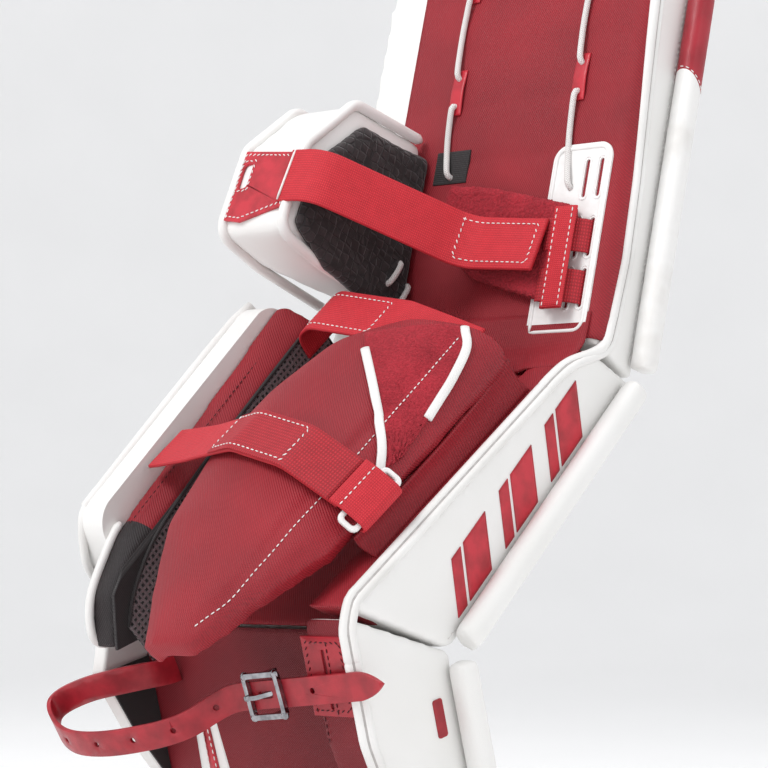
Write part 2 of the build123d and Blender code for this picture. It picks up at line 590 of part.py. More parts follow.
TOE = -BOOT_LENGTH
side_prism("boot_bolster", BOOT, (WALL_X, CORE_LATERAL_X),
           ((TOE, CORE_REAR), (OVERRUN, CORE_REAR), (OVERRUN, WALL_REAR_BOOT),
            (BOOT_WALL_FLAT, WALL_REAR_BOOT), (TOE, WALL_REAR_TOE)), cuts=BELOW_BOOT)
side_prism("boot_side", BOOT, SIDE_RANGE,
           ((TOE, 0), (OVERRUN, 0), (OVERRUN, WALL_REAR_BOOT), (BOOT_WALL_FLAT, WALL_REAR_BOOT),
            (TOE, WALL_REAR_TOE)), cuts=BELOW_BOOT)
with BuildPart() as boot_binding:
    with BuildSketch(side_plane(BOOT, SIDE_RANGE[1] - BINDING_WIDTH)):
        with BuildLine():
            Polyline((TOE, WALL_REAR_TOE), (BOOT_WALL_FLAT, WALL_REAR_BOOT), (OVERRUN, WALL_REAR_BOOT),
                     (OVERRUN, WALL_REAR_BOOT + BINDING_HEIGHT),
                     (BOOT_WALL_FLAT, WALL_REAR_BOOT + BINDING_HEIGHT),
                     (TOE, WALL_REAR_TOE + BINDING_HEIGHT), close=True)
        make_face()
    extrude(amount=BINDING_WIDTH)
    split(bisect_by=BOOT_TOP, keep=Keep.BOTTOM)
save(boot_binding.part, "boot_binding")
roll("boot_roll", BOOT, (TOE, -ROLL_GAP))

BOOT_WALL = 13.0
BOOT_WALL_LINING = 2.0
BOOT_WALL_OUTLINE = ((26, 6), (22, 82), (2, 91), (-42, 74), (-84, 52), (-84, 6))
side_prism("boot_wall", BOOT, (CORE_MEDIAL_X - BOOT_WALL, CORE_MEDIAL_X), BOOT_WALL_OUTLINE,
           cuts=BELOW_BOOT)
side_prism("boot_wall_liner", BOOT, (CORE_MEDIAL_X, CORE_MEDIAL_X + BOOT_WALL_LINING),
           ((4, REAR), (4, 90), (2, 91), (-42, 74), (-84, 52), (-84, REAR)), cuts=BELOW_BOOT)

LABEL_THICKNESS = 0.8
with BuildPart() as size_label:
    with BuildSketch(side_plane(BOOT, SIDE_RANGE[1])):
        with Locations((-40, 22)):
            RectangleRounded(26, 9, 2)
    extrude(amount=LABEL_THICKNESS)
save(size_label.part, "size_label")

# Toe bridge: a stiff bar behind the toe with two metal-edged lace holes.
BRIDGE_X = (-60.0, 40.0)
BRIDGE_THICKNESS = 4.0
BRIDGE_HEIGHT = 14.0
BRIDGE_UP = TOE + BRIDGE_HEIGHT / 2 + 4
EYELETS = (-36.0, 16.0)
EYELET_BORE = 6.0
with BuildPart() as toe_bridge:
    with BuildSketch(BOOT.offset(REAR)):
        with Locations(((BRIDGE_X[0] + BRIDGE_X[1]) / 2, BRIDGE_UP)):
            RectangleRounded(BRIDGE_X[1] - BRIDGE_X[0], BRIDGE_HEIGHT, 3)
        with Locations([(x, BRIDGE_UP) for x in EYELETS]):
            Circle(EYELET_BORE / 2, mode=Mode.SUBTRACT)
    extrude(amount=BRIDGE_THICKNESS)
save(toe_bridge.part, "toe_bridge")

# ---- Boot strap, slotted tab and buckle -----------------------------------------------------
BOOT_TAB_X = (74.0, 112.5)
BOOT_TAB_UP = 8.0
BOOT_TAB_HEIGHT = 54.0
BOOT_TAB = 2.2
SLIT = (92.0, 6.0)  # the slit the buckle strap goes through, as (x, up)
SLIT_LENGTH = 40.0
SLIT_WIDTH = 2.6
with BuildPart() as boot_tab:
    with BuildSketch(BOOT.offset(WALL_REAR_BOOT)):
        with Locations(((BOOT_TAB_X[0] + BOOT_TAB_X[1]) / 2, BOOT_TAB_UP)):
            Rectangle(BOOT_TAB_X[1] - BOOT_TAB_X[0], BOOT_TAB_HEIGHT)
        with Locations(SLIT):
            SlotOverall(SLIT_LENGTH, SLIT_WIDTH, rotation=90, mode=Mode.SUBTRACT)
    extrude(amount=BOOT_TAB)
save(boot_tab.part, "boot_tab")

STRAP_BASE = WALL_REAR_BOOT + BOOT_TAB
BUCKLE_STRAP = 2.0
TAIL_LEVEL = WALL_REAR_BOOT + BINDING_HEIGHT + SEAT
TAIL_SLOPE = 0.1
TAIL_START = -8.0  # its height above the boot break at x = 0
STRAP_HOLE = 4.2
TAIL_HOLE_X = 84.0
LOOP_HOLES = (0.08, 0.19, 0.30, 0.41, 0.52)  # shares of the loop's length
BUCKLE_X = (24.0, 58.0)
BAR_X = 46.0
PRONG_HOLE_X = 37.0
PRONG_SLOT = (14.0, 5.0)


def strap_height(x):
    """Height of the boot strap's centre line above the boot break, where it lies straight."""
    return TAIL_START + TAIL_SLOPE * x


strap_frame = Plane(origin=BOOT.from_local_coords((0, strap_height(0), 0)),
                    x_dir=BOOT.x_dir + BOOT.y_dir * TAIL_SLOPE, z_dir=BOOT.z_dir)
buckle_strap_x = BAR_X + 4
with BuildPart() as buckle_strap:
    with BuildSketch(strap_frame.offset(STRAP_BASE)):
        with Locations(((buckle_strap_x + SLIT[0]) / 2, 0)):
            Rectangle(SLIT[0] - buckle_strap_x, BOOT_STRAP_WIDTH - 3)
    extrude(amount=BUCKLE_STRAP)
save(buckle_strap.part, "buckle_strap")

# The long strap runs straight from its tip under the buckle, then hangs in an open loop that
# droops and returns to the liner at the medial edge.
LOOP_ROUTE = ((-16.0, -19.0, 112.0), (-54.0, -28.0, 127.0), (-108.0, -33.0, 132.0),
              (-147.0, -27.0, 122.0), (-160.0, -17.0, 110.0), (-143.0, -8.0, 103.0),
              (-112.0, -1.0, 97.0), (-95.0, -1.0, 76.0), (-92.0, -3.0, 52.0))
TIP_X = 148.0
TIP_TAPER = 22.0  # the tip narrows over this length
TIP_SHOULDER = (TIP_X - 8, 5.5)
LOOP_X = 18.0  # where the straight tail turns into the loop
LEAN = 0.30  # how far the loop's upper edge leans rearward, for each millimetre of width
tail_start = strap_frame.from_local_coords((TIP_X - TIP_TAPER, 0, TAIL_LEVEL + LEATHER / 2))
tail_end = strap_frame.from_local_coords((LOOP_X, 0, TAIL_LEVEL + LEATHER / 2))
loop_points = [BOOT.from_local_coords(p) for p in LOOP_ROUTE]
straight = Line(tail_start, tail_end)
loop = Spline(tail_end, *loop_points, tangents=(straight % 1, -BOOT.z_dir))
GUIDE = 10.0  # a second line this far up the strap turns its width
guide_points = [tail_end + BOOT.y_dir * GUIDE]
guide_points += [p + (BOOT.y_dir + BOOT.z_dir * LEAN).normalized() * GUIDE for p in loop_points]
guide = Spline(*guide_points, tangents=(straight % 1, -BOOT.z_dir))
strap_end = Plane(origin=loop @ 0, x_dir=BOOT.y_dir, z_dir=loop % 0)
loop_band = sweep(strap_end * Rectangle(BOOT_STRAP_WIDTH, LEATHER), path=loop, binormal=guide)

half_width = BOOT_STRAP_WIDTH / 2
taper_x = TIP_X - TIP_TAPER
with BuildPart() as boot_strap:
    with BuildSketch(strap_frame.offset(TAIL_LEVEL)):
        with BuildLine():
            Polyline((LOOP_X, half_width), (LOOP_X, -half_width), (taper_x, -half_width))
            ThreePointArc((taper_x, -half_width), (TIP_SHOULDER[0], -TIP_SHOULDER[1]), (TIP_X, 0))
            ThreePointArc((TIP_X, 0), TIP_SHOULDER, (taper_x, half_width))
            Line((taper_x, half_width), (LOOP_X, half_width))
        make_face()
    extrude(amount=LEATHER)
    add(loop_band)
    for share in LOOP_HOLES:
        through = (loop % share).cross(BOOT.y_dir)
        with BuildSketch(Plane(origin=loop @ share, x_dir=BOOT.y_dir, z_dir=through)):
            Circle(STRAP_HOLE / 2)
        extrude(amount=2 * LEATHER, both=True, mode=Mode.SUBTRACT)
    with BuildSketch(strap_frame.offset(TAIL_LEVEL)):
        with Locations((PRONG_HOLE_X + 2.5, 0)):
            SlotOverall(*PRONG_SLOT)
        with Locations((TAIL_HOLE_X, 0)):
            Circle(STRAP_HOLE / 2)
    extrude(amount=LEATHER, mode=Mode.SUBTRACT)
save(boot_strap.part, "boot_strap")

# The buckle lies over the strap; its middle bar, under the strap, carries the prong.
BUCKLE_WIRE = 3.6
BUCKLE_OUT = 32.0  # frame height across the strap
FRAME_LEVEL = TAIL_LEVEL + LEATHER + SEAT
BUCKLE_CORNER = 4.0
BUCKLE_WINDOW_CORNER = 1.5
BAR_DIAMETER = 2.6
BAR_LEVEL = STRAP_BASE + BAR_DIAMETER / 2 + 0.2
frame_length = BUCKLE_X[1] - BUCKLE_X[0]
post_y = (BUCKLE_OUT - BUCKLE_WIRE) / 2
POST_BASE = STRAP_BASE + 0.1
with BuildPart() as buckle_frame:
    with BuildSketch(strap_frame.offset(FRAME_LEVEL)):
        with Locations((sum(BUCKLE_X) / 2, 0)):
            RectangleRounded(frame_length, BUCKLE_OUT, BUCKLE_CORNER)
            RectangleRounded(frame_length - 2 * BUCKLE_WIRE, BUCKLE_OUT - 2 * BUCKLE_WIRE,
                             BUCKLE_WINDOW_CORNER, mode=Mode.SUBTRACT)
    extrude(amount=BUCKLE_WIRE)
    with BuildSketch(strap_frame.offset(POST_BASE)):
        with Locations([(BAR_X, -post_y), (BAR_X, post_y)]):
            Rectangle(BUCKLE_WIRE + 2, BUCKLE_WIRE)
    extrude(amount=FRAME_LEVEL - STRAP_BASE)
    bar_start = strap_frame.from_local_coords((BAR_X, -post_y, BAR_LEVEL))
    with BuildSketch(Plane(origin=bar_start, z_dir=strap_frame.y_dir)):
        Circle(BAR_DIAMETER / 2)
    extrude(amount=BUCKLE_OUT - BUCKLE_WIRE)
save(buckle_frame.part, "buckle_frame")

# The prong turns on the bar, comes up through the strap's slot and rests over the frame.
PRONG_WIDTH = 3.0
PRONG_THICKNESS = 2.2
PRONG_EYE = 0.7  # wall round the bar
prong_top = FRAME_LEVEL + BUCKLE_WIRE + SEAT
tip_x = BUCKLE_X[0] + 1.0
PRONG_OUTLINE = (
    (BAR_X, BAR_LEVEL), (BAR_X - 1.5, BAR_LEVEL + 1.9), (PRONG_HOLE_X + 1.4, prong_top - 1.0),
    (PRONG_HOLE_X - 1, prong_top + PRONG_THICKNESS), (tip_x, prong_top + PRONG_THICKNESS),
    (tip_x, prong_top), (PRONG_HOLE_X - 1.6, prong_top), (PRONG_HOLE_X - 0.8, TAIL_LEVEL + 0.4),
    (BAR_X - 3.4, BAR_LEVEL - 0.6))
prong_plane = Plane(origin=strap_frame.from_local_coords((0, -PRONG_WIDTH / 2, 0)),
                    x_dir=strap_frame.x_dir, z_dir=strap_frame.y_dir)
rearward = -1 if prong_plane.y_dir.dot(strap_frame.z_dir) < 0 else 1
with BuildPart() as buckle_prong:
    with BuildSketch(prong_plane):
        with BuildLine():
            Polyline(*[(x, rearward * depth) for x, depth in PRONG_OUTLINE], close=True)
        make_face()
        with Locations((BAR_X, rearward * BAR_LEVEL)):
            Circle(BAR_DIAMETER / 2 + SEAT + PRONG_EYE)
            Circle(BAR_DIAMETER / 2 + SEAT, mode=Mode.SUBTRACT)
    extrude(amount=PRONG_WIDTH)
save(buckle_prong.part, "buckle_prong")
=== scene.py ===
# %% [markdown]
# # A goaltender's leg pad
# The pad is three foam sections, thigh, shin and boot, folded at the knee break and the boot
# break. Its front is white synthetic leather. The rear, where the leg lies, is red nylon with a
# calf wrap, straps, a knee block, and a wing lined in black. The imported model gives every size,
# and each piece below is built in place; most of them then ride on the body that carries them.

# %% Load the frame
import json
from math import cos, pi, radians, sin

import bmesh
import bpy
import numpy as np
from mathutils import Matrix, Vector
from mathutils.bvhtree import BVHTree


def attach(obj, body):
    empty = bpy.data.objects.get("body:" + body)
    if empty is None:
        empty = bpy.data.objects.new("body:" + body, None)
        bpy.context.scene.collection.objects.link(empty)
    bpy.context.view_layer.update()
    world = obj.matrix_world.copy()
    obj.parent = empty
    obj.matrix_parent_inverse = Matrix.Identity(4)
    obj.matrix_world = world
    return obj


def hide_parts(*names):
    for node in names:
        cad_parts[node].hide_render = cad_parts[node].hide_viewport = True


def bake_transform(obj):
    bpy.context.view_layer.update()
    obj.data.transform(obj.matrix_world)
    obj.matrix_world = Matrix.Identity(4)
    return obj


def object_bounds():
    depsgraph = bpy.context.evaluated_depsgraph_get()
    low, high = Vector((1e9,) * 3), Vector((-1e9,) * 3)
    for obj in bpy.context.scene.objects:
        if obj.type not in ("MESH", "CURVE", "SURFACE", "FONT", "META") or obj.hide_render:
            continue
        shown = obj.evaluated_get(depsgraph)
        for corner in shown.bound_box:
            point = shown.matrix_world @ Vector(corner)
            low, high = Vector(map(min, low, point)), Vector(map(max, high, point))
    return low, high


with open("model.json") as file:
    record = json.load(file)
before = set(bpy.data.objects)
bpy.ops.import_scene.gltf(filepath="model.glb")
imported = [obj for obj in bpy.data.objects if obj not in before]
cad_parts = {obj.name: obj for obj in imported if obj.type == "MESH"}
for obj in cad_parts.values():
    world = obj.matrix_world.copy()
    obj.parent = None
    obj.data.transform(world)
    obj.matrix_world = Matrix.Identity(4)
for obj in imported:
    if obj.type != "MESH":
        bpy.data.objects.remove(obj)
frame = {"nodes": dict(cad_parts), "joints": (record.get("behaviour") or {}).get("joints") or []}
cad_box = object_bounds()
nodes = frame["nodes"]
joints = {joint["name"]: joint for joint in frame["joints"]}
scene = bpy.context.scene

# %% [markdown]
# Each section leans at its own angle, so it is easiest to think in its own directions: across the
# pad, up the section, and rearward from its front face. A section is a matrix with those three
# columns, scaled so that places can be given in millimetres.

# %% Section frames
MM = 0.001


def section(lean, origin=(0, 0, 0)):
    """Matrix from (across, up, rearward) in millimetres to the row frame in metres."""
    tilt = radians(lean)
    across = Vector((1, 0, 0))
    up = Vector((0, sin(tilt), cos(tilt)))
    rear = Vector((0, -cos(tilt), sin(tilt)))
    turn = Matrix((across, up, rear)).transposed()
    return Matrix.Translation(origin) @ turn.to_4x4() @ Matrix.Scale(MM, 4)


KNEE = Vector(joints["knee_break"]["pos_m"])
BOOT_BREAK = Vector(joints["boot_break"]["pos_m"])
THIGH_LEAN, SHIN_LEAN, BOOT_LEAN, BLOCK_LEAN = 13, 45, -16.5, 23  # degrees from upright
THIGH = section(THIGH_LEAN, KNEE)
SHIN = section(SHIN_LEAN, KNEE)
BOOT = section(BOOT_LEAN, BOOT_BREAK)
BLOCK = section(BLOCK_LEAN, KNEE)


def span(node, place):
    """Lowest and highest (across, up, rearward) of a CAD node in a section, in millimetres."""
    back = place.inverted()
    local = np.array([back @ v.co for v in nodes[node].data.vertices])
    return local.min(0), local.max(0)


def direction(place, *vector):
    """A direction given in a section, as a unit vector in the row frame."""
    return (place.to_3x3() @ Vector(vector)).normalized()


REAR = span("thigh_rear_panel", THIGH)[1][2]  # how far back the rear panel's face lies
print("rear panel depth", round(REAR, 1), "mm")

# %% [markdown]
# ## Finishes
# One function turns a hex colour to linear light, and one adds a node with its settings and
# links. Pattern sizes come from real ones: thread spacing, grain and braid.

# %% Colour and node helpers
def colour(code):
    """Linear RGBA from an sRGB hex code."""
    parts = [int(code[i:i + 2], 16) / 255 for i in (1, 3, 5)]
    linear = [p / 12.92 if p <= 0.04045 else ((p + 0.055) / 1.055) ** 2.4 for p in parts]
    return (*linear, 1.0)


def add(tree, kind, settings=None, **links):
    """Adds a node. settings sets its properties, and links its inputs, by value or by socket."""
    made = tree.nodes.new(kind)
    for key, value in (settings or {}).items():
        setattr(made, key, value)
    for key, value in links.items():
        numbered = key[0] == "i" and key[1:].isdigit()
        socket = made.inputs[int(key[1:]) if numbered else key.replace("_", " ")]
        if isinstance(value, bpy.types.NodeSocket):
            tree.links.new(value, socket)
        else:
            socket.default_value = value
    return made


def finish_of(name, rough, sheen=0.0, metal=0.0, coat=0.0):
    """A new material with its Principled shader, and the tree to build on."""
    material = bpy.data.materials.new(name)
    material.use_nodes = True
    tree = material.node_tree
    shader = tree.nodes["Principled BSDF"]
    shader.inputs["Roughness"].default_value = rough
    shader.inputs["Metallic"].default_value = metal
    shader.inputs["Sheen Weight"].default_value = sheen
    shader.inputs["Coat Weight"].default_value = coat
    return material, tree, shader


def ramp(tree, value, dark, light, low=0.0, high=1.0):
    """Colour that goes from dark to light as a value goes from low to high."""
    part = add(tree, "ShaderNodeMapRange", i0=value, i1=low, i2=high)
    return add(tree, "ShaderNodeMix", {"data_type": "RGBA"}, i0=part.outputs[0],
               i6=colour(dark), i7=colour(light)).outputs[2]


def relief(tree, shader, height, distance, strength=1.0):
    """Bump from a height, distance in metres, put on the shader's normal."""
    bump = add(tree, "ShaderNodeBump", Height=height, Distance=distance, Strength=strength)
    tree.links.new(bump.outputs[0], shader.inputs["Normal"])
    return bump


def noise(tree, vector, size_mm, detail=3.0):
    """Noise whose blobs are about size_mm across."""
    return add(tree, "ShaderNodeTexNoise", Vector=vector, Scale=1 / (size_mm * MM),
               Detail=detail).outputs[0]


def bands(tree, vector, pitch_mm, axis="X", distortion=0.0):
    """Even ridges across one axis, one each pitch_mm."""
    wave = add(tree, "ShaderNodeTexWave", {"bands_direction": axis}, Vector=vector,
               Scale=pi / (10 * pitch_mm * MM), Distortion=distortion)
    return wave.outputs[1]


def mixed(tree, first, second, operation="ADD"):
    """Two values put together."""
    return add(tree, "ShaderNodeMath", {"operation": operation}, i0=first, i1=second).outputs[0]


def turned(tree, lean=0.0, spin=0.0):
    """Object coordinates turned to lie along a section, and spun round its rearward axis."""
    place = add(tree, "ShaderNodeTexCoord").outputs["Object"]
    lying = add(tree, "ShaderNodeMapping", Vector=place, Rotation=(radians(lean), 0, 0)).outputs[0]
    return add(tree, "ShaderNodeMapping", Vector=lying, Rotation=(0, radians(spin), 0)).outputs[0]


# %% [markdown]
# The white shell is a polyurethane-coated synthetic leather with a fine pressed grain. It is
# matt, painted a little grey in its creases as shade, and has long soft wrinkles over the foam.

# %% White synthetic leather
def white_leather(name="white synthetic leather", base="#F0EFED", crease_shade="#EBEAE7", lean=0.0):
    """Coated cloth, pressed while warm: a grain 1.1 mm across over long creases about 55 mm apart."""
    material, tree, shader = finish_of(name, 0.48, coat=0.04)
    place = turned(tree, lean)
    grain = add(tree, "ShaderNodeTexVoronoi", {"feature": "DISTANCE_TO_EDGE"}, Vector=place,
                Scale=1 / (1.1 * MM)).outputs[0]
    cells = add(tree, "ShaderNodeMapRange", i0=grain, i1=0.0, i2=0.25).outputs[0]
    crease = noise(tree, place, 55, 1.0)
    # The low places of the creases take the darker colour: painted shade.
    tree.links.new(ramp(tree, crease, crease_shade, base, 0.2, 0.7), shader.inputs["Base Color"])
    height = mixed(tree, mixed(tree, cells, 0.16, "MULTIPLY"), mixed(tree, crease, 1.2, "MULTIPLY"))
    relief(tree, shader, height, 0.0005, 0.4)
    return material


WHITE = white_leather()
PIPING = white_leather("white piping leather", "#F2F1EF", "#E0DEDB")


# %% [markdown]
# The red panels are coated ballistic nylon: a close twill with ridges about a millimetre apart,
# dull in the shade and pinker where the light rakes over it.

# %% Red nylon, elastic and leather
def red_nylon(name, lean, spin=38, dark="#750D1A", light="#A81828"):
    """Twill nylon with a coated back. Its 0.5 mm threads are drawn at 1.5 mm, so that they show."""
    material, tree, shader = finish_of(name, 0.6, sheen=0.03)
    shader.inputs["Sheen Roughness"].default_value = 0.4
    shader.inputs["Sheen Tint"].default_value = colour("#D8505C")
    place = turned(tree, lean, spin)
    ridge = bands(tree, place, 1.5, "X")
    cross = bands(tree, place, 1.1, "Z")
    weave = mixed(tree, ridge, mixed(tree, cross, 0.45, "MULTIPLY"))
    patch = noise(tree, place, 60, 2.0)
    tone = mixed(tree, mixed(tree, weave, 0.34, "MULTIPLY"), mixed(tree, patch, 0.7, "MULTIPLY"))
    tree.links.new(ramp(tree, tone, dark, light, 0.2, 0.95), shader.inputs["Base Color"])
    relief(tree, shader, mixed(tree, weave, mixed(tree, patch, 4.0, "MULTIPLY")), 0.00035, 0.7)
    return material


THIGH_NYLON = red_nylon("red nylon thigh", THIGH_LEAN)
SHIN_NYLON = red_nylon("red nylon shin", SHIN_LEAN)
# The boot's nylon is the same cloth as above, painted darker as shade.
SHADED_BOOT_NYLON = red_nylon("red nylon boot with painted shade", BOOT_LEAN, dark="#5A0A14", light="#8C1422")


def woven_strap(name, dark, light, pitch=1.5):
    """Woven elastic. The strap's own UV map runs along and across it, in metres."""
    material, tree, shader = finish_of(name, 0.65, sheen=0.15)
    shader.inputs["Sheen Tint"].default_value = colour("#F06470")
    cloth = add(tree, "ShaderNodeUVMap", {"uv_map": "cloth"}).outputs[0]
    rib = bands(tree, cloth, pitch, "X")
    cord = bands(tree, cloth, pitch * 1.25, "Y")
    weave = mixed(tree, rib, cord, "MULTIPLY")
    patch = noise(tree, cloth, 9, 3.0)
    tone = mixed(tree, mixed(tree, weave, 0.7, "MULTIPLY"), mixed(tree, patch, 0.35, "MULTIPLY"))
    tree.links.new(ramp(tree, tone, dark, light, 0.05, 0.75), shader.inputs["Base Color"])
    relief(tree, shader, weave, 0.0004, 0.9)
    return material


ELASTIC = woven_strap("red woven elastic", "#AE1423", "#DE2A38")
WEBBING = woven_strap("red webbing", "#8A101D", "#C4212F", 2.0)


def strap_leather(name="red strap leather", dark="#8C1220", light="#AE1F2D"):
    """Dyed and waxed hide: a fine grain, a little gloss, and paler where it has been bent."""
    material, tree, shader = finish_of(name, 0.42, coat=0.12)
    place = turned(tree)
    grain = noise(tree, place, 0.9, 4.0)
    wear = noise(tree, place, 14, 3.0)
    tree.links.new(ramp(tree, wear, dark, light, 0.3, 0.62), shader.inputs["Base Color"])
    relief(tree, shader, mixed(tree, grain, mixed(tree, wear, 1.5, "MULTIPLY")), 0.0002, 0.5)
    return material


STRAP_LEATHER = strap_leather()
TAB_LEATHER = strap_leather("red tab leather", "#A01826", "#C42636")
print("materials so far", len(bpy.data.materials))


# %% [markdown]
# Hook-and-loop cloth is brushed: its nap catches light from every side, so it looks mottled and
# paler at the edges. The black cushion is an embossed knit and the wing's edge a spacer mesh.

# %% Brushed loop, cushion, mesh and lining
def brushed(name="brushed red loop", dark="#7A1420", light="#B82A38"):
    """Brushed nylon loop: no gloss, a nap of 1.6 mm tufts, and drifts where it has been stroked."""
    material, tree, shader = finish_of(name, 0.95, sheen=0.18)
    shader.inputs["Sheen Tint"].default_value = colour("#E2606A")
    shader.inputs["Sheen Roughness"].default_value = 0.6
    place = turned(tree)
    nap = noise(tree, place, 1.6, 6.0)
    drift = noise(tree, place, 22, 3.0)
    tone = mixed(tree, mixed(tree, nap, 0.75, "MULTIPLY"), mixed(tree, drift, 0.45, "MULTIPLY"))
    tree.links.new(ramp(tree, tone, dark, light, 0.38, 0.8), shader.inputs["Base Color"])
    relief(tree, shader, nap, 0.0016, 0.9)
    return material


FLEECE = brushed()
LOOP_CLOTH = brushed("brushed red loop patch", "#861824", "#B42A38")


def embossed_knit(name="black embossed knit"):
    """Small interlocked cells about 7 mm long pressed into a matt black knit."""
    material, tree, shader = finish_of(name, 0.82, sheen=0.25)
    place = turned(tree, BLOCK_LEAN)
    flat = add(tree, "ShaderNodeMapping", Vector=place,
               Rotation=(radians(90), 0, radians(90))).outputs[0]
    cells = add(tree, "ShaderNodeTexVoronoi", {"feature": "DISTANCE_TO_EDGE"}, Vector=flat,
                Scale=1 / (7 * MM), Randomness=0.35).outputs[0]
    edge = add(tree, "ShaderNodeMapRange", i0=cells, i1=0.0, i2=0.12).outputs[0]
    fuzz = noise(tree, place, 1.2, 4.0)
    tree.links.new(ramp(tree, mixed(tree, edge, fuzz, "MULTIPLY"), "#120E0F", "#332A2C", 0.05, 0.75),
                   shader.inputs["Base Color"])
    relief(tree, shader, mixed(tree, edge, mixed(tree, fuzz, 0.3, "MULTIPLY")), 0.0007, 0.9)
    return material


def spacer_mesh(name="grey spacer mesh"):
    """Knitted mesh: oval holes about 4 mm apart through a pale web over black."""
    material, tree, shader = finish_of(name, 0.8, sheen=0.3)
    place = turned(tree, SHIN_LEAN)
    holes = add(tree, "ShaderNodeTexVoronoi", {"feature": "DISTANCE_TO_EDGE"}, Vector=place,
                Scale=1 / (4.2 * MM), Randomness=0.25).outputs[0]
    web = add(tree, "ShaderNodeMapRange", i0=holes, i1=0.30, i2=0.16).outputs[0]
    tree.links.new(ramp(tree, web, "#0C0A0B", "#6E6063"), shader.inputs["Base Color"])
    relief(tree, shader, web, 0.0012, 1.0)
    return material


def lining(name="black woven lining"):
    """Plain-woven nylon: a dull black with faint crossing threads."""
    material, tree, shader = finish_of(name, 0.75, sheen=0.2)
    place = turned(tree, SHIN_LEAN)
    weave = mixed(tree, bands(tree, place, 1.4, "X"), bands(tree, place, 1.4, "Z"), "MULTIPLY")
    drift = noise(tree, place, 30, 3.0)
    tone = mixed(tree, mixed(tree, weave, 0.4, "MULTIPLY"), mixed(tree, drift, 0.6, "MULTIPLY"))
    tree.links.new(ramp(tree, tone, "#0B0809", "#2A2123", 0.1, 0.8), shader.inputs["Base Color"])
    relief(tree, shader, mixed(tree, weave, mixed(tree, drift, 5.0, "MULTIPLY")), 0.0003, 0.8)
    return material


KNIT = embossed_knit()
MESH = spacer_mesh()
LINING = lining()
print("cloths", [m.name for m in (FLEECE, LOOP_CLOTH, KNIT, MESH, LINING)])


# %% [markdown]
# The small parts have their own finishes. Lace is a braid, which could be modelled strand by
# strand, but at 4.6 mm thick two crossed sets of ridges on its own UV map read the same. Thread,
# moulded acetal, vinyl sheet and chromed steel are smooth, so one function gives them all a
# faint cloudiness and uneven gloss, and only their colours and roughness differ.

# %% Lace, thread, plastic and metal
def braided_lace(name="white braided lace"):
    """Braided polyester: two sets of threads that cross at 35 degrees each way."""
    material, tree, shader = finish_of(name, 0.75, sheen=0.2)
    cloth = add(tree, "ShaderNodeUVMap", {"uv_map": "cloth"}).outputs[0]
    left = add(tree, "ShaderNodeMapping", Vector=cloth, Rotation=(0, 0, radians(35))).outputs[0]
    right = add(tree, "ShaderNodeMapping", Vector=cloth, Rotation=(0, 0, radians(-35))).outputs[0]
    braid = mixed(tree, bands(tree, left, 1.3), bands(tree, right, 1.3), "MAXIMUM")
    tree.links.new(ramp(tree, braid, "#C9C4C0", "#F3F0EE"), shader.inputs["Base Color"])
    relief(tree, shader, braid, 0.0005, 0.8)
    return material


def plain(name, dark, light, rough, metal=0.0, size=6.0, bump=0.0001, coat=0.0):
    """A hard smooth finish with faint cloudiness and handling marks."""
    material, tree, shader = finish_of(name, rough, metal=metal, coat=coat)
    place = turned(tree)
    cloud = noise(tree, place, size, 4.0)
    tree.links.new(ramp(tree, cloud, dark, light, 0.3, 0.7), shader.inputs["Base Color"])
    marks = ramp(tree, noise(tree, place, size / 3, 5.0), "#000000", "#FFFFFF", 0.2, 0.8)
    spread = add(tree, "ShaderNodeMapRange", i0=marks, i1=0.0, i2=1.0,
                 i3=rough * 0.75, i4=rough * 1.35)
    tree.links.new(spread.outputs[0], shader.inputs["Roughness"])
    relief(tree, shader, cloud, bump, 0.5)
    return material


LACE = braided_lace()
# Thread is spun and dull. Acetal is moulded, and vinyl pressed, so both have a soft gloss.
WHITE_THREAD = plain("white sewing thread", "#D8D5D2", "#F6F4F2", 0.7)
DARK_THREAD = plain("dark red sewing thread", "#3A0C12", "#5A161F", 0.7)
WHITE_PLASTIC = plain("white moulded acetal", "#E6E5E3", "#F4F3F2", 0.3)
WHITE_VINYL = plain("white vinyl sheet", "#EDECEA", "#F5F4F3", 0.38, coat=0.1)
# Chrome is plated on polished steel: sharp reflections, a little blurred by handling. Its colour
# is darker than chrome's own: a painted reflection of dark surroundings.
CHROME = plain("chromed steel", "#7C7C80", "#B4B4B8", 0.14, metal=1.0)
# The recess between two piped edges lies in shade, so its grey is painted shadow, greyer than
# the leather.
SEAM_SHADOW = plain("seam recess painted shadow", "#A9A5A3", "#BDB9B7", 0.9)
print("materials", len(bpy.data.materials))

# %% [markdown]
# ## Building soft pieces
# Foam under leather has rounded corners and sides that swell a little. A soft piece starts as the
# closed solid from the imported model, remeshed to even quads. Cloth with air pressure inside makes
# it crown between its seams, a cap stops it reaching its neighbours, and a few rounds of smoothing
# round what the cutter would never leave sharp.

# %% Pieces and how they are finished
def complete(obj, body, material=None, stands_for=()):
    """Gives a finished mesh its material and body, and hides the CAD nodes that it replaces."""
    if material is not None:
        obj.data.materials.clear()
        obj.data.materials.append(material)
    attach(obj, body)
    if stands_for:
        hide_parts(*stands_for)
    return obj


def mesh_object(name, verts, faces, smooth=True):
    """A new mesh object with its faces turned outwards."""
    mesh = bpy.data.meshes.new(name)
    mesh.from_pydata([tuple(v) for v in verts], [], faces)
    work = bmesh.new()
    work.from_mesh(mesh)
    bmesh.ops.recalc_face_normals(work, faces=work.faces)
    work.to_mesh(mesh)
    work.free()
    mesh.polygons.foreach_set("use_smooth", [smooth] * len(mesh.polygons))
    made = bpy.data.objects.new(name, mesh)
    scene.collection.objects.link(made)
    return made


def baked(obj):
    """Replaces an object's mesh by what its modifiers make of it, and clears them."""
    bpy.context.view_layer.update()
    seen = obj.evaluated_get(bpy.context.evaluated_depsgraph_get())
    mesh = bpy.data.meshes.new_from_object(seen)
    obj.modifiers.clear()
    obj.data = mesh
    return obj


print("piece helpers ready")

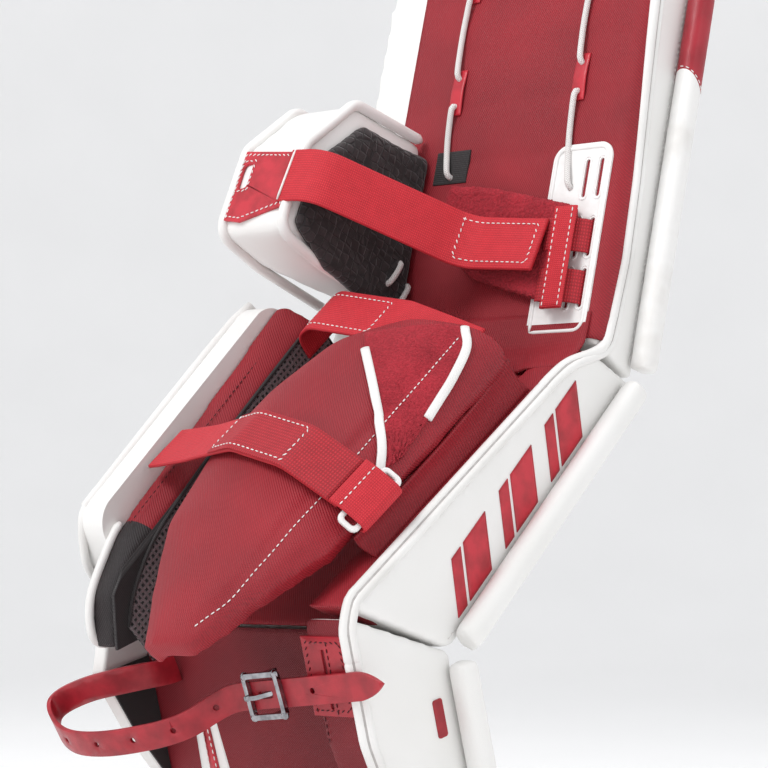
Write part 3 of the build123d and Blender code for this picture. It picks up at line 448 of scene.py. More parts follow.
# %% [markdown]
# Padding could be sculpted, but a real pad gets its shape from foam pushing on a skin. Blender's
# cloth does the same: the mesh is the skin, and air pressure pushes it out for twenty frames. The
# result replaces the mesh, so no simulation is left on the piece.

# %% Cloth with air pressure in it
CLOTH_FRAMES = 20


def puffed(obj, pressure, cap):
    """Runs cloth with air pressure in it, and lets no point move further than cap, in metres."""
    before = np.array([v.co for v in obj.data.vertices])
    cloth = obj.modifiers.new("cloth", "CLOTH")
    settings = cloth.settings
    settings.use_pressure = True
    settings.uniform_pressure_force = pressure
    settings.effector_weights.gravity = 0
    settings.quality = 5
    settings.tension_stiffness = 30
    settings.compression_stiffness = 30
    settings.bending_stiffness = 2
    cloth.collision_settings.use_collision = False
    for step in range(1, CLOTH_FRAMES + 1):
        scene.frame_set(step)
    baked(obj)
    scene.frame_set(1)
    after = np.array([v.co for v in obj.data.vertices])
    move = after - before
    length = np.linalg.norm(move, axis=1, keepdims=True)
    move *= np.minimum(1.0, cap / np.maximum(length, 1e-9))
    obj.data.vertices.foreach_set("co", (before + move).ravel())
    return obj


def soften(name, parts, voxel, rounds, pressure=0.0, cap=3.0, keep=None):
    """One soft form from closed CAD solids. voxel and cap are in millimetres.

    keep(point) may move a point back, such as one that would reach a neighbour.
    """
    work = bmesh.new()
    for part in parts:
        work.from_mesh(nodes[part].data)
    bmesh.ops.remove_doubles(work, verts=work.verts, dist=1e-5)
    mesh = bpy.data.meshes.new(name)
    work.to_mesh(mesh)
    work.free()
    made = bpy.data.objects.new(name, mesh)
    scene.collection.objects.link(made)
    remesh = made.modifiers.new("even quads", "REMESH")
    remesh.mode = "VOXEL"
    remesh.voxel_size = voxel * MM
    baked(made)
    if pressure:
        puffed(made, pressure, cap * MM)
    work = bmesh.new()
    work.from_mesh(made.data)
    for _ in range(rounds):
        bmesh.ops.smooth_vert(work, verts=work.verts, factor=0.5,
                              use_axis_x=True, use_axis_y=True, use_axis_z=True)
    if keep is not None:
        for vert in work.verts:
            vert.co = keep(vert.co)
    work.to_mesh(made.data)
    work.free()
    made.data.polygons.foreach_set("use_smooth", [True] * len(made.data.polygons))
    finer = made.modifiers.new("finer", "SUBSURF")
    finer.levels = finer.render_levels = 1
    return baked(made)


print("soft forms ready, simulation", "on")

# %% [markdown]
# Layers, bands and seams lie on the padding. Projecting a texture would be quicker, but a layer
# of cloth has an edge that catches light. So each point of a layer is dropped along a ray on the
# finished surface and lifted off it by the layer's thickness.

# %% Laying points on a surface
def surface(*objects):
    """A search tree over the surfaces of some objects."""
    verts, faces = [], []
    for obj in objects:
        start = len(verts)
        verts += [v.co.copy() for v in obj.data.vertices]
        faces += [[start + i for i in p.vertices] for p in obj.data.polygons]
    return BVHTree.FromPolygons(verts, faces)


def laid(tree, place, points, lift=0.0, look=(0, 0, -1), far=400.0):
    """Points (across, up, rearward) of a section dropped on a surface along look, and lifted.

    A point that meets nothing takes the depth of the last one that did.
    """
    ray = direction(place, *look)
    made = []
    for point in points:
        start = place @ Vector(point) - ray * far * MM
        hit, normal, _, _ = tree.ray_cast(start, ray)
        if hit is None:
            made.append(made[-1] if made else place @ Vector(point))
        else:
            made.append(hit + normal * lift * MM)
    return made


print("laying helpers ready")


# %% [markdown]
# Straps, piping and seams follow lines. A line is given by a few places: a Catmull-Rom curve
# passes through all of them, which suits piping, and a polyline with rounded corners keeps its
# straight runs, which suits a strap pulled tight.

# %% Smooth lines
def curve_points(points, step=3.0):
    """A smooth line through a few points (Catmull-Rom), sampled about every step of length."""
    pts = [np.array(p, float) for p in points]
    if len(pts) == 2:
        count = max(2, int(np.linalg.norm(pts[1] - pts[0]) / step) + 1)
        return [pts[0] + (pts[1] - pts[0]) * i / (count - 1) for i in range(count)]
    pts = [2 * pts[0] - pts[1]] + pts + [2 * pts[-1] - pts[-2]]
    made = []
    for a, b, c, d in zip(pts, pts[1:], pts[2:], pts[3:]):
        count = max(2, int(np.linalg.norm(c - b) / step))
        for i in range(count):
            t = i / count
            made.append(0.5 * (2 * b + (c - a) * t + (2 * a - 5 * b + 4 * c - d) * t * t
                               + (3 * b - a - 3 * c + d) * t ** 3))
    made.append(pts[-2])
    return made


def rounded(points, radius, step=3.0):
    """A polyline with its corners turned to arcs, sampled about every step."""
    pts = [np.array(p, float) for p in points]
    made = [pts[0]]
    for before, corner, after in zip(pts, pts[1:], pts[2:]):
        into = (before - corner) / np.linalg.norm(before - corner)
        away = (after - corner) / np.linalg.norm(after - corner)
        half = np.arccos(np.clip(np.dot(into, away), -1, 1)) / 2
        reach = min(radius / np.tan(half), 0.48 * np.linalg.norm(before - corner),
                    0.48 * np.linalg.norm(after - corner))
        first, last = corner + into * reach, corner + away * reach
        for i in range(7):
            t = i / 6
            made.append((1 - t) ** 2 * first + 2 * t * (1 - t) * corner + t * t * last)
    made.append(pts[-1])
    even = [made[0]]
    for a, b in zip(made, made[1:]):
        count = max(1, int(np.linalg.norm(b - a) / step))
        even += [a + (b - a) * (i + 1) / count for i in range(count)]
    return even


print("line helpers ready")


# %% [markdown]
# A tube makes piping and laces: a ring of points carried along a line. A bevelled curve would do
# too, but this has closed, rounded ends and a UV map in metres, so that a braid runs along it.

# %% Tubes
def tube(name, points, radius, sides=10, closed=False):
    """A round tube through points in metres, radius in millimetres, with rounded ends."""
    pts = [Vector(p) for p in points]
    count = len(pts)
    verts, faces, cloth = [], [], []
    side = None
    run = 0.0
    for i, point in enumerate(pts):
        ahead = pts[(i + 1) % count] if closed or i + 1 < count else point
        back = pts[i - 1] if closed or i else point
        along = (ahead - back).normalized()
        if side is None:
            side = along.orthogonal().normalized()
        side = (side - along * side.dot(along)).normalized()
        other = along.cross(side)
        end = 1.0 if closed else min(1.0, 0.55 + 0.45 * min(i, count - 1 - i))
        verts += [point + (side * cos(2 * pi * k / sides) + other * sin(2 * pi * k / sides))
                  * radius * MM * end for k in range(sides)]
        run += (point - back).length
        cloth.append(run)
    rows = count if closed else count - 1
    for i in range(rows):
        for k in range(sides):
            j = (i + 1) % count
            faces.append((i * sides + k, i * sides + (k + 1) % sides,
                          j * sides + (k + 1) % sides, j * sides + k))
    if not closed:
        faces.append(tuple(range(sides)))
        faces.append(tuple((count - 1) * sides + k for k in range(sides)))
    made = mesh_object(name, verts, faces)
    layer = made.data.uv_layers.new(name="cloth")
    for poly in made.data.polygons:
        for loop in poly.loop_indices:
            index = made.data.loops[loop].vertex_index
            layer.data[loop].uv = (cloth[index // sides],
                                   (index % sides) / sides * 2 * pi * radius * MM)
    return made


print("tubes ready")

# %% [markdown]
# A strap is not a flat plane: its edges are rounded, and it keeps its width as it bends. So a
# ribbon carries its width and outward directions along its line, and can say where a place on its
# outer face is, which the stitches need later.

# %% Ribbons
class Ribbon:
    """A strap along a line of points, with the width and outward directions at each."""

    def __init__(self, centres, wide, out, width, thickness):
        self.centres = [Vector(c) for c in centres]
        self.wide = wide
        self.out = out
        self.width = width
        self.thickness = thickness
        steps = [0.0]
        for a, b in zip(self.centres, self.centres[1:]):
            steps.append(steps[-1] + (b - a).length)
        self.steps = steps
        self.length = steps[-1] / MM

    def spot(self, along, across, lift=0.3):
        """The place at a distance along in mm and a share across (-1 to 1), over its outer face."""
        run = min(max(along * MM, 0.0), self.steps[-1])
        i = min(int(np.searchsorted(self.steps, run)), len(self.steps) - 1)
        i = max(i, 1)
        share = (run - self.steps[i - 1]) / max(self.steps[i] - self.steps[i - 1], 1e-9)
        centre = self.centres[i - 1].lerp(self.centres[i], share)
        wide = self.wide[i - 1].lerp(self.wide[i], share).normalized()
        out = self.out[i - 1].lerp(self.out[i], share).normalized()
        return centre + wide * across * self.width / 2 * MM + out * (self.thickness / 2 + lift) * MM

    def mesh(self, name, ripple=0.0, edge=0.7):
        """The strap as a mesh. ripple bends its edges a little in and out, in millimetres."""
        half_w, half_t = self.width / 2, self.thickness / 2
        e = min(edge, half_t * 0.9)
        flat = 2 * half_w - 4 * e
        across = [-half_w + 2 * e + flat * k / 6 for k in range(6)] + [half_w - 2 * e]
        side, top = half_w - 0.4 * e, half_t - 0.4 * e
        profile = [(a, -half_t) for a in across]
        profile += [(side, -top), (half_w, 0), (side, top)]
        profile += [(a, half_t) for a in reversed(across)]
        profile += [(-side, top), (-half_w, 0), (-side, -top)]
        sides = len(profile)
        verts, faces = [], []
        for i, centre in enumerate(self.centres):
            for a, t in profile:
                wave = ripple * sin(self.steps[i] / MM / 23 + a / 9) * (a / half_w) ** 2
                verts.append(centre + self.wide[i] * a * MM + self.out[i] * (t + wave) * MM)
        for i in range(len(self.centres) - 1):
            for k in range(sides):
                faces.append((i * sides + k, i * sides + (k + 1) % sides,
                              (i + 1) * sides + (k + 1) % sides, (i + 1) * sides + k))
        faces.append(tuple(range(sides)))
        last = (len(self.centres) - 1) * sides
        faces.append(tuple(last + k for k in range(sides)))
        made = mesh_object(name, verts, faces)
        layer = made.data.uv_layers.new(name="cloth")
        for poly in made.data.polygons:
            for loop in poly.loop_indices:
                index = made.data.loops[loop].vertex_index
                layer.data[loop].uv = (self.steps[index // sides], profile[index % sides][0] * MM)
        return made


print("ribbons ready")


# %% [markdown]
# Most straps lie across one section, so their routes are easiest to give as places across the pad
# and rearward from it, with one angle for how far the strap's lateral end is lowered.

# %% Straps across a section
def section_strap(place, up, turn, route, width, thickness, bend, step=3.0):
    """The ribbon of a strap that lies across a section, its route given as (across, rearward).

    turn lowers its lateral end, in degrees. The route is on the strap's inner side.
    """
    angle = radians(turn)
    line = rounded(route, bend, step)
    across = direction(place, cos(angle), -sin(angle), 0)
    wide = direction(place, sin(angle), cos(angle), 0)
    rear = direction(place, 0, 0, 1)
    start = place @ Vector((0, up, 0))
    centres, outs = [], []
    for i, (x, n) in enumerate(line):
        ahead = line[min(i + 1, len(line) - 1)]
        back = line[max(i - 1, 0)]
        run = np.array(ahead) - np.array(back)
        run /= np.linalg.norm(run)
        out = (-run[1], run[0])
        centre = start + across * x * MM + rear * n * MM
        normal = across * out[0] + rear * out[1]
        centres.append(centre + normal * thickness / 2 * MM)
        outs.append(normal)
    return Ribbon(centres, [wide] * len(centres), outs, width, thickness)


print("strap helper ready")

# %% [markdown]
# ## Stitches
# Every seam shows a row of thread: short raised dashes a few millimetres long. Geometry Nodes
# lay one small thread dash at each point of a resampled line and turn it along the line, so a
# whole row is a line and three sizes.

# %% The stitch tree
def stitch_tree():
    tree = bpy.data.node_groups.new("stitch row", "GeometryNodeTree")
    for label, kind in (("Line", "NodeSocketGeometry"), ("Pitch", "NodeSocketFloat"),
                        ("Dash", "NodeSocketFloat"), ("Thread", "NodeSocketFloat"),
                        ("Material", "NodeSocketMaterial")):
        tree.interface.new_socket(label, in_out="INPUT", socket_type=kind)
    tree.interface.new_socket("Stitches", in_out="OUTPUT", socket_type="NodeSocketGeometry")
    start = add(tree, "NodeGroupInput").outputs
    spaced = add(tree, "GeometryNodeCurveToPoints", {"mode": "LENGTH"}, Curve=start["Line"],
                 Length=start["Pitch"])
    size = add(tree, "ShaderNodeCombineXYZ", X=start["Thread"], Y=start["Thread"], Z=start["Dash"])
    bead = add(tree, "GeometryNodeMeshUVSphere", Segments=6, Rings=5, Radius=0.5)
    dash = add(tree, "GeometryNodeTransform", Geometry=bead.outputs[0], Scale=size.outputs[0])
    rows = add(tree, "GeometryNodeInstanceOnPoints", Points=spaced.outputs[0], Instance=dash.outputs[0],
               Rotation=spaced.outputs["Rotation"])
    real = add(tree, "GeometryNodeRealizeInstances", Geometry=rows.outputs[0])
    smooth = add(tree, "GeometryNodeSetShadeSmooth", Geometry=real.outputs[0])
    done = add(tree, "GeometryNodeSetMaterial", Geometry=smooth.outputs[0], Material=start["Material"])
    end = add(tree, "NodeGroupOutput")
    tree.links.new(done.outputs[0], end.inputs[0])
    return tree


STITCH_TREE = stitch_tree()
STITCH_INPUTS = {item.name: item.identifier for item in STITCH_TREE.interface.items_tree
                 if item.in_out == "INPUT"}
seams = {}


def sew(body, points, thread="white", pitch=4.6, dash=3.2, width=0.95):
    """Notes a row of stitches along points in metres. They are made together at the end."""
    seams.setdefault((body, thread, pitch, dash, width), []).append([Vector(p) for p in points])


print("stitch tree inputs", sorted(STITCH_INPUTS))


# %% Rows of stitches made into pieces
def make_stitches():
    """Makes one plain mesh of stitches for each body, thread and size."""
    finishes = {"white": WHITE_THREAD, "dark": DARK_THREAD}
    for number, ((body, thread, pitch, dash, width), rows) in enumerate(seams.items()):
        line = bpy.data.curves.new("row", "CURVE")
        line.dimensions = "3D"
        for points in rows:
            spline = line.splines.new("POLY")
            spline.points.add(len(points) - 1)
            for slot_point, place in zip(spline.points, points):
                slot_point.co = (*place, 1.0)
        made = bpy.data.objects.new(f"stitches_{body}_{thread}_{number}", line)
        scene.collection.objects.link(made)
        nodes_of = made.modifiers.new("stitches", "NODES")
        nodes_of.node_group = STITCH_TREE
        nodes_of[STITCH_INPUTS["Pitch"]] = pitch * MM
        nodes_of[STITCH_INPUTS["Dash"]] = dash * MM
        nodes_of[STITCH_INPUTS["Thread"]] = width * MM
        nodes_of[STITCH_INPUTS["Material"]] = finishes[thread]
        bpy.context.view_layer.update()
        seen = made.evaluated_get(bpy.context.evaluated_depsgraph_get())
        mesh = bpy.data.meshes.new_from_object(seen)
        bpy.data.objects.remove(made)
        piece = bpy.data.objects.new(f"stitches_{body}_{thread}_{number}", mesh)
        scene.collection.objects.link(piece)
        complete(piece, body)
        print(piece.name, len(rows), "rows", len(mesh.polygons), "faces")


# %% [markdown]
# ## Camera, floor and light
# The view is from behind the pad and a little to its lateral side, level with the shin. One big
# soft light stands above and behind the camera, a weaker one fills from the other side, and a
# pale floor sweeps up all round to a pale wall.

# %% Camera
EYE = Vector((1.462, -1.668, -0.143))
HEADING, RISE, ROLL = radians(43.52), radians(-3.74), radians(0.86)
right = Vector((cos(HEADING), sin(HEADING), 0))
forward = Vector((-sin(HEADING) * cos(RISE), cos(HEADING) * cos(RISE), -sin(RISE)))
above = right.cross(forward)
camera_x = right * cos(ROLL) + above * sin(ROLL)
camera_y = above * cos(ROLL) - right * sin(ROLL)
lens = bpy.data.cameras.new("camera")
lens.lens = 141.1  # millimetres, a long lens about 2.2 m away
lens.sensor_width = 36
camera = bpy.data.objects.new("camera", lens)
scene.collection.objects.link(camera)
facing = Matrix((camera_x, camera_y, -forward)).transposed().to_4x4()
camera.matrix_world = Matrix.Translation(EYE) @ facing
scene.camera = camera
print("camera", tuple(round(c, 3) for c in EYE))

# %% [markdown]
# The floor is a shallow bowl: flat under the pad, then curving up to a wall 5 m away all round,
# so that no view shows an edge. A flat plane and a backdrop would hide the pad from behind. The
# paper glows a little, which stands for the light a real studio bounces back.

# %% Floor
low, high = cad_box
middle = (Vector(low) + Vector(high)) / 2
ground = Vector(low).z - 0.002
RIM_AT, BEND, WALL = 5.5, 2.0, 5.0
bowl = [(0.5 * RIM_AT * k / 4, 0.0) for k in range(1, 5)]
bowl += [(RIM_AT - BEND + BEND * sin(radians(9 * k)), BEND - BEND * cos(radians(9 * k)))
         for k in range(11)]
bowl += [(RIM_AT, WALL)]
AROUND = 64
verts = [Vector((middle.x, middle.y, ground))]
faces = [(0, 1 + k, 1 + (k + 1) % AROUND) for k in range(AROUND)]
for far, up in bowl:
    for k in range(AROUND):
        turn = 2 * pi * k / AROUND
        verts.append(Vector((middle.x + far * cos(turn), middle.y + far * sin(turn), ground + up)))
for i in range(len(bowl) - 1):
    for k in range(AROUND):
        a, b = 1 + i * AROUND + k, 1 + i * AROUND + (k + 1) % AROUND
        faces.append((a, b, b + AROUND, a + AROUND))
floor = mesh_object("floor", verts, faces)
paper = plain("matt pale paper", "#E6E6E6", "#E9E9E9", 0.9, size=200.0, bump=0.0)
paper_shader = paper.node_tree.nodes["Principled BSDF"]
paper_shader.inputs["Emission Color"].default_value = (1, 1, 1, 1)
paper_shader.inputs["Emission Strength"].default_value = 0.22
floor.data.materials.append(paper)
print("floor", len(floor.data.polygons), "faces")

# %% [markdown]
# Soft light comes from large lamps. A disc a metre or more across gives shadows with wide edges,
# as the softboxes of a product studio do.


# %% Lights
def lamp(name, place, aim, size, power):
    light = bpy.data.lights.new(name, "AREA")
    light.shape = "DISK"
    light.size = size
    light.energy = power
    made = bpy.data.objects.new(name, light)
    scene.collection.objects.link(made)
    made.location = place
    made.rotation_euler = (aim - place).to_track_quat("-Z", "Y").to_euler()
    return made


lamp("key light", Vector((-0.3, -1.9, 1.9)), middle, 1.1, 36)
lamp("fill light", Vector((2.3, -0.2, 0.5)), middle, 1.6, 6)
lamp("top light", Vector((0.3, 0.3, 2.2)), middle, 1.4, 11)
world = bpy.data.worlds.new("soft room")
scene.world = world
world.use_nodes = True
world.node_tree.nodes["Background"].inputs[0].default_value = (0.95, 0.96, 1.0, 1.0)
world.node_tree.nodes["Background"].inputs[1].default_value = 0.5
scene.view_settings.view_transform = "Standard"

# %% [markdown]
# ## The shells
# The thigh, shin and boot shells are foam cores wrapped in white leather. Each is one soft form
# with its side wall, because on the real pad one sheet wraps round the corner.

# %% White shells
def plain_side(lean):
    """White leather whose grain and creases lie along one section."""
    return white_leather(f"white synthetic leather {lean}", lean=lean)


# The lateral rear corner of the thigh is rolled: the panel wraps over it to the piping.
SIDE_X = span("thigh_side", THIGH)[1][0]
ROLLED = 11.0
PIPE_UP = (0, 30, 80, 140, 220, 300)
PIPE_REAR = (42, 34, 30, 32, 38, 43)
back_to_thigh = THIGH.inverted()


def rolled_corner(co):
    """Rounds the lateral rear corner of the thigh shell."""
    local = back_to_thigh @ co
    centre_x, centre_n = SIDE_X - ROLLED - 1, REAR - ROLLED - 1
    dx, dn = local.x - centre_x, local.z - centre_n
    reach = (dx * dx + dn * dn) ** 0.5
    if dx > 0 and dn > 0 and reach > ROLLED - 0.6:
        share = (ROLLED - 0.6) / reach
        return THIGH @ Vector((centre_x + dx * share, local.y, centre_n + dn * share))
    return co


thigh_parts = ["thigh_face", "thigh_board", "thigh_core", "thigh_side", "thigh_medial_band"]
shin_parts = ["shin_face", "shin_core", "shin_side"]
boot_parts = ["boot_face", "boot_core", "boot_side"]
thigh_shell = soften("thigh_shell", thigh_parts, 4, 3, keep=rolled_corner)
complete(thigh_shell, "thigh", plain_side(THIGH_LEAN), thigh_parts)
# The bolster is behind the thin side wall, and joins it so that the wall stays whole.
shin_shell = soften("shin_shell", [*shin_parts, "shin_bolster"], 4, 3)
complete(shin_shell, "shin", plain_side(SHIN_LEAN), shin_parts)
boot_shell = soften("boot_shell", [*boot_parts, "boot_bolster"], 4, 3)
complete(boot_shell, "boot", plain_side(BOOT_LEAN), boot_parts)
print("shells", [len(o.data.polygons) for o in (thigh_shell, shin_shell, boot_shell)])

# %% [markdown]
# The roll runs down the lateral front edge in separate stuffed segments, so that the pad can
# flex at its breaks. Its top segment is red, joined by a slanting seam.

# %% Rolls
def slanted_finish(name, tip_place, lean, slope):
    """The roll's leather, split into white below and red above a slanting seam."""
    material, tree, shader = finish_of(name, 0.46, coat=0.05)
    place = turned(tree, lean)
    apart = add(tree, "ShaderNodeSeparateXYZ", Vector=place).outputs
    across = mixed(tree, apart[1], slope, "MULTIPLY")
    above_seam = mixed(tree, mixed(tree, apart[2], across, "ADD"), tip_place, "GREATER_THAN")
    grain = noise(tree, place, 1.0, 4.0)
    wear = noise(tree, place, 26, 2.0)
    red = ramp(tree, wear, "#8A1522", "#A82231", 0.3, 0.6)
    white = ramp(tree, wear, "#E6E4E1", "#F0EFED", 0.28, 0.5)
    tone = add(tree, "ShaderNodeMix", {"data_type": "RGBA"}, i0=above_seam, i6=white, i7=red).outputs[2]
    tree.links.new(tone, shader.inputs["Base Color"])
    relief(tree, shader, mixed(tree, grain, mixed(tree, wear, 3.0, "MULTIPLY")), 0.0004, 0.5)
    return material


SEAM_UP = span("thigh_roll_tip", THIGH)[0][1]
SEAM_SLOPE = 0.9
thigh_roll = soften("thigh_roll_soft", ["thigh_roll", "thigh_roll_tip"], 3, 6)
complete(thigh_roll, "thigh",
         slanted_finish("roll leather in two colours", (SEAM_UP + 4) * MM, THIGH_LEAN, SEAM_SLOPE),
         ["thigh_roll", "thigh_roll_tip"])
shin_roll = soften("shin_roll_soft", ["shin_roll"], 3, 6)
complete(shin_roll, "shin", WHITE, ["shin_roll"])
boot_roll = soften("boot_roll_soft", ["boot_roll"], 3, 6)
complete(boot_roll, "boot", WHITE, ["boot_roll"])
print("rolls", [len(o.data.polygons) for o in (thigh_roll, shin_roll, boot_roll)])

# %% [markdown]
# The thigh's rear panel is quilted lightly: a few creases run straight across it, and the nylon
# crowns a little between them. It is drawn as a sheet over a grid, whose depth follows the
# distance to the nearest crease, and Solidify gives it a thickness.

# %% Quilted red panels
def quilt(across, up, level, creases, puff, side_fade=14.0, step=4.0):
    """A panel over ranges across and up, in a section's mm, crowned by puff between creases."""
    columns = int((across[1] - across[0]) / step) + 1
    rows = int((up[1] - up[0]) / step) + 1
    marks = sorted([up[0], *creases, up[1]])
    grid = []
    for r in range(rows + 1):
        u = up[0] + (up[1] - up[0]) * r / rows
        gap = min(abs(u - mark) for mark in marks)
        swell = 1 - np.exp(-gap / 5.0)
        for c in range(columns + 1):
            x = across[0] + (across[1] - across[0]) * c / columns
            edge = min(x - across[0], across[1] - x)
            fade = 1 - np.exp(-edge / side_fade)
            sway = 0.5 * sin(x / 31 + u / 17) + 0.35 * sin(x / 13 - u / 23)
            grid.append((x, u, level + puff * swell * fade * (1 + 0.25 * sway)))
    return grid, rows, columns


def grid_sheet(name, points, rows, columns, thickness):
    """A sheet over a grid of points in metres, with thickness in millimetres under it."""
    faces = []
    for r in range(rows):
        for c in range(columns):
            a = r * (columns + 1) + c
            faces.append((a, a + 1, a + columns + 2, a + columns + 1))
    made = mesh_object(name, points, faces)
    thick = made.modifiers.new("thickness", "SOLIDIFY")
    thick.thickness = thickness * MM
    thick.offset = 0
    baked(made)
    made.data.polygons.foreach_set("use_smooth", [True] * len(made.data.polygons))
    return made


panel_low, panel_high = span("thigh_rear_panel", THIGH)
CREASES = (36, 74, 118, 163, 208, 252, 297)
FLAT_TO = SIDE_X - ROLLED
WRAP_CELLS = 30  # the stretch of the sheet that turns down over the corner
grid, rows, columns = quilt((panel_low[0] + 1, FLAT_TO + WRAP_CELLS),
                            (panel_low[1] + 2, panel_high[1] - 3), REAR - 1.0, CREASES, 1.0)
corner = 45.0
TOP_FLAT_FROM = 290  # above here the panel turns down only a little
shaped = []
for x, u, n in grid:
    over = max(0.0, u - (panel_high[1] - corner))
    inset = corner - (corner ** 2 - min(over, corner) ** 2) ** 0.5
    past = x - FLAT_TO
    if past > 0:
        pipe = float(np.interp(u, PIPE_UP, PIPE_REAR)) + 2
        reach = (ROLLED * pi / 2 + REAR - ROLLED - pipe) * past / WRAP_CELLS
        if u > TOP_FLAT_FROM:
            reach = min(reach, 7.0 * past / WRAP_CELLS)
        turn = min(reach / ROLLED, pi / 2)
        x = FLAT_TO + ROLLED * sin(turn) + 0.2
        n = REAR - ROLLED + ROLLED * cos(turn) - max(0.0, reach - ROLLED * pi / 2)
    shaped.append(THIGH @ Vector((min(x, SIDE_X + 0.2 - inset), u, n)))
thigh_panel = grid_sheet("thigh_panel", shaped, rows, columns, 2.0)
complete(thigh_panel, "thigh", THIGH_NYLON, ["thigh_rear_panel"])
print("quilted panel", len(thigh_panel.data.polygons))

# %% [markdown]
# The bolsters are the foam rolls that line the lateral wall inside the channel. They are simple
# closed forms: cloth pressure alone gives the shin bolster its crown, and the boot bolster is only
# smoothed. The channel's floor is a thin sheet of the same nylon, and a sheet that thin would tear
# in a voxel remesh, so it is a grid.

# %% Shin and boot bolsters
def over_foam(place, side_x, rear_lift):
    """Moves a cover's inner side and rear out over the foam under it."""
    back = place.inverted()

    def moved(co):
        local = back @ co
        if local.x < side_x + 6:
            local.x -= 1.4
        if local.z > REAR + 2:
            local.z += rear_lift
        return place @ local
    return moved


wall_x = span("shin_bolster", SHIN)[0][0]
bolster = soften("shin_bolster_soft", ["shin_bolster", "bolster_cover"], 4, 3, pressure=1.5, cap=1.2,
                 keep=over_foam(SHIN, wall_x, 0.3))
complete(bolster, "shin", SHIN_NYLON, ["shin_bolster", "bolster_cover"])
boot_bolster = soften("boot_bolster_soft", ["boot_bolster"], 4, 3, keep=over_foam(BOOT, wall_x, 1.0))
complete(boot_bolster, "boot", SHADED_BOOT_NYLON, ["boot_bolster"])


def lining_sheet(name, node, place, body, material):
    """A thin lining over the channel floor, a sheet as wide and long as its CAD node."""
    low_end, high_end = span(node, place)
    local = [place.inverted() @ v.co for v in nodes[node].data.vertices]
    top = [v for v in local if v.z > high_end[2] - 0.1]
    ends = (min(v.y for v in top), max(v.y for v in top))
    cells, over, along = quilt((low_end[0], high_end[0]), ends, high_end[2] - 1.0, (), 1.0)
    made = grid_sheet(name, [place @ Vector(p) for p in cells], over, along, 1.6)
    return complete(made, body, material, [node])


lining_sheet("channel_lining", "channel_liner", SHIN, "shin", SHIN_NYLON)
lining_sheet("boot_lining", "boot_liner", BOOT, "boot", SHADED_BOOT_NYLON)
print("bolsters done")

# %% [markdown]
# The rear edges end in piping: two rolled strips of white leather sewn side by side, with a
# shadowed groove between them, along the whole lateral edge. A bump would show it from one side
# only, so each roll is a tube that follows the edge of the imported binding. A grey tube in the
# groove is its painted shadow.

# %% Piping
def wall_path(node, place, side_x, lift, ends, step=5.0):
    """Points along the rear edge of a CAD binding, from its own corners, between two heights."""
    back = place.inverted()
    local = sorted((back @ v.co for v in nodes[node].data.vertices), key=lambda v: v.y)
    corners = []
    for spot in local:
        if corners and spot.y - corners[-1][0] < 20:
            if spot.z > corners[-1][1]:
                corners[-1] = (corners[-1][0], spot.z)
        else:
            corners.append((spot.y, spot.z))
    heights = [c[0] for c in corners]
    depths = [c[1] for c in corners]
    return [(side_x, u, float(np.interp(u, heights, depths)) + lift)
            for u in np.arange(ends[0], ends[1] + 0.01, step)]


def piping(name, node, place, body, replaced, ends):
    """Two piped rolls, a painted shadow in their groove, and a row of stitches along a straight binding.
    """
    side = span(node, place)[1][0]
    inner = wall_path(node, place, side - 4.6, -2.6, ends)
    outer = wall_path(node, place, side - 0.4, -5.4, ends)
    groove = wall_path(node, place, side - 1.9, -3.5, ends)
    first = tube(f"{name}_inner", [place @ Vector(p) for p in inner], 3.7, 12)
    complete(first, body, PIPING, [replaced])
    second = tube(f"{name}_outer", [place @ Vector(p) for p in outer], 3.0, 12)
    complete(second, body, PIPING)
    # The groove's tube is grey: painted shadow between the two rolls.
    dark = tube(f"{name}_groove", [place @ Vector(p) for p in groove], 2.3, 8)
    complete(dark, body, SEAM_SHADOW)
    sew(body, [place @ Vector((side - 8.3, p[1], p[2] - 2.2)) for p in inner], "white", 4.2, 2.8, 0.7)


thigh_edge_high = span("thigh_binding", THIGH)[1]
shin_edge_low, shin_edge_high = span("shin_binding", SHIN)
boot_edge_low, boot_edge_high = span("boot_binding", BOOT)


def thigh_edge(u, aside=0.0):
    """A place on the thigh's piping line, moved forward by aside."""
    deep = float(np.interp(u, PIPE_UP, PIPE_REAR)) - aside
    return THIGH @ Vector((SIDE_X + 0.4, u, deep))


def shin_edge(u, aside=0.0, x=0.0):
    """A place on the shin's piping line, from its wall's edge."""
    deep = wall_path("shin_binding", SHIN, SIDE_X + x, -aside, (u, u))[0]
    return SHIN @ Vector(deep)


def boot_edge(u, aside=0.0, x=0.0):
    """A place on the boot's piping line, from its wall's edge."""
    deep = wall_path("boot_binding", BOOT, SIDE_X + x, -aside, (u, u))[0]
    return BOOT @ Vector(deep)


def smooth_line(points, step=0.004):
    """A smooth line in metres through a few places."""
    return [Vector(p) for p in curve_points([tuple(p) for p in points], step)]


heights = list(range(34, int(thigh_edge_high[1]) - 2, 12))
# The groove tube of each run is grey, painted shadow between the rolls.
for part, aside, radius, finish in (("inner", 0, 3.7, PIPING), ("outer", 6.4, 3.0, PIPING),
                                    ("groove", 3.4, 2.2, SEAM_SHADOW)):
    along = smooth_line([thigh_edge(u, aside) for u in heights])
    complete(tube(f"thigh_piping_{part}", along, radius, 12), "thigh", finish,
             ["thigh_binding"] if part == "inner" else [])
print("thigh piping", len(heights))

# %% [markdown]
# The piping and the panel are one length of material on the real pad, and they bend with it at
# each break. Those short stretches are each one piece across the break, attached to neither body.

# %% Stretches across the knee and boot breaks
def bends(obj, slot, material, first, second, start, end):
    """Gives a mesh that crosses a break its material, and bakes its transform into its points."""
    obj.data.materials.append(material)
    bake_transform(obj)
    return obj


knee_ends = (SHIN @ Vector((110, -26, 45)), THIGH @ Vector((110, 30, 45)))
boot_ends = (SHIN @ Vector((110, -294, 80)), BOOT @ Vector((110, 26, 88)))
shin_top = shin_edge_high[1]
foot, boot_top = shin_edge_low[1], boot_edge_high[1]
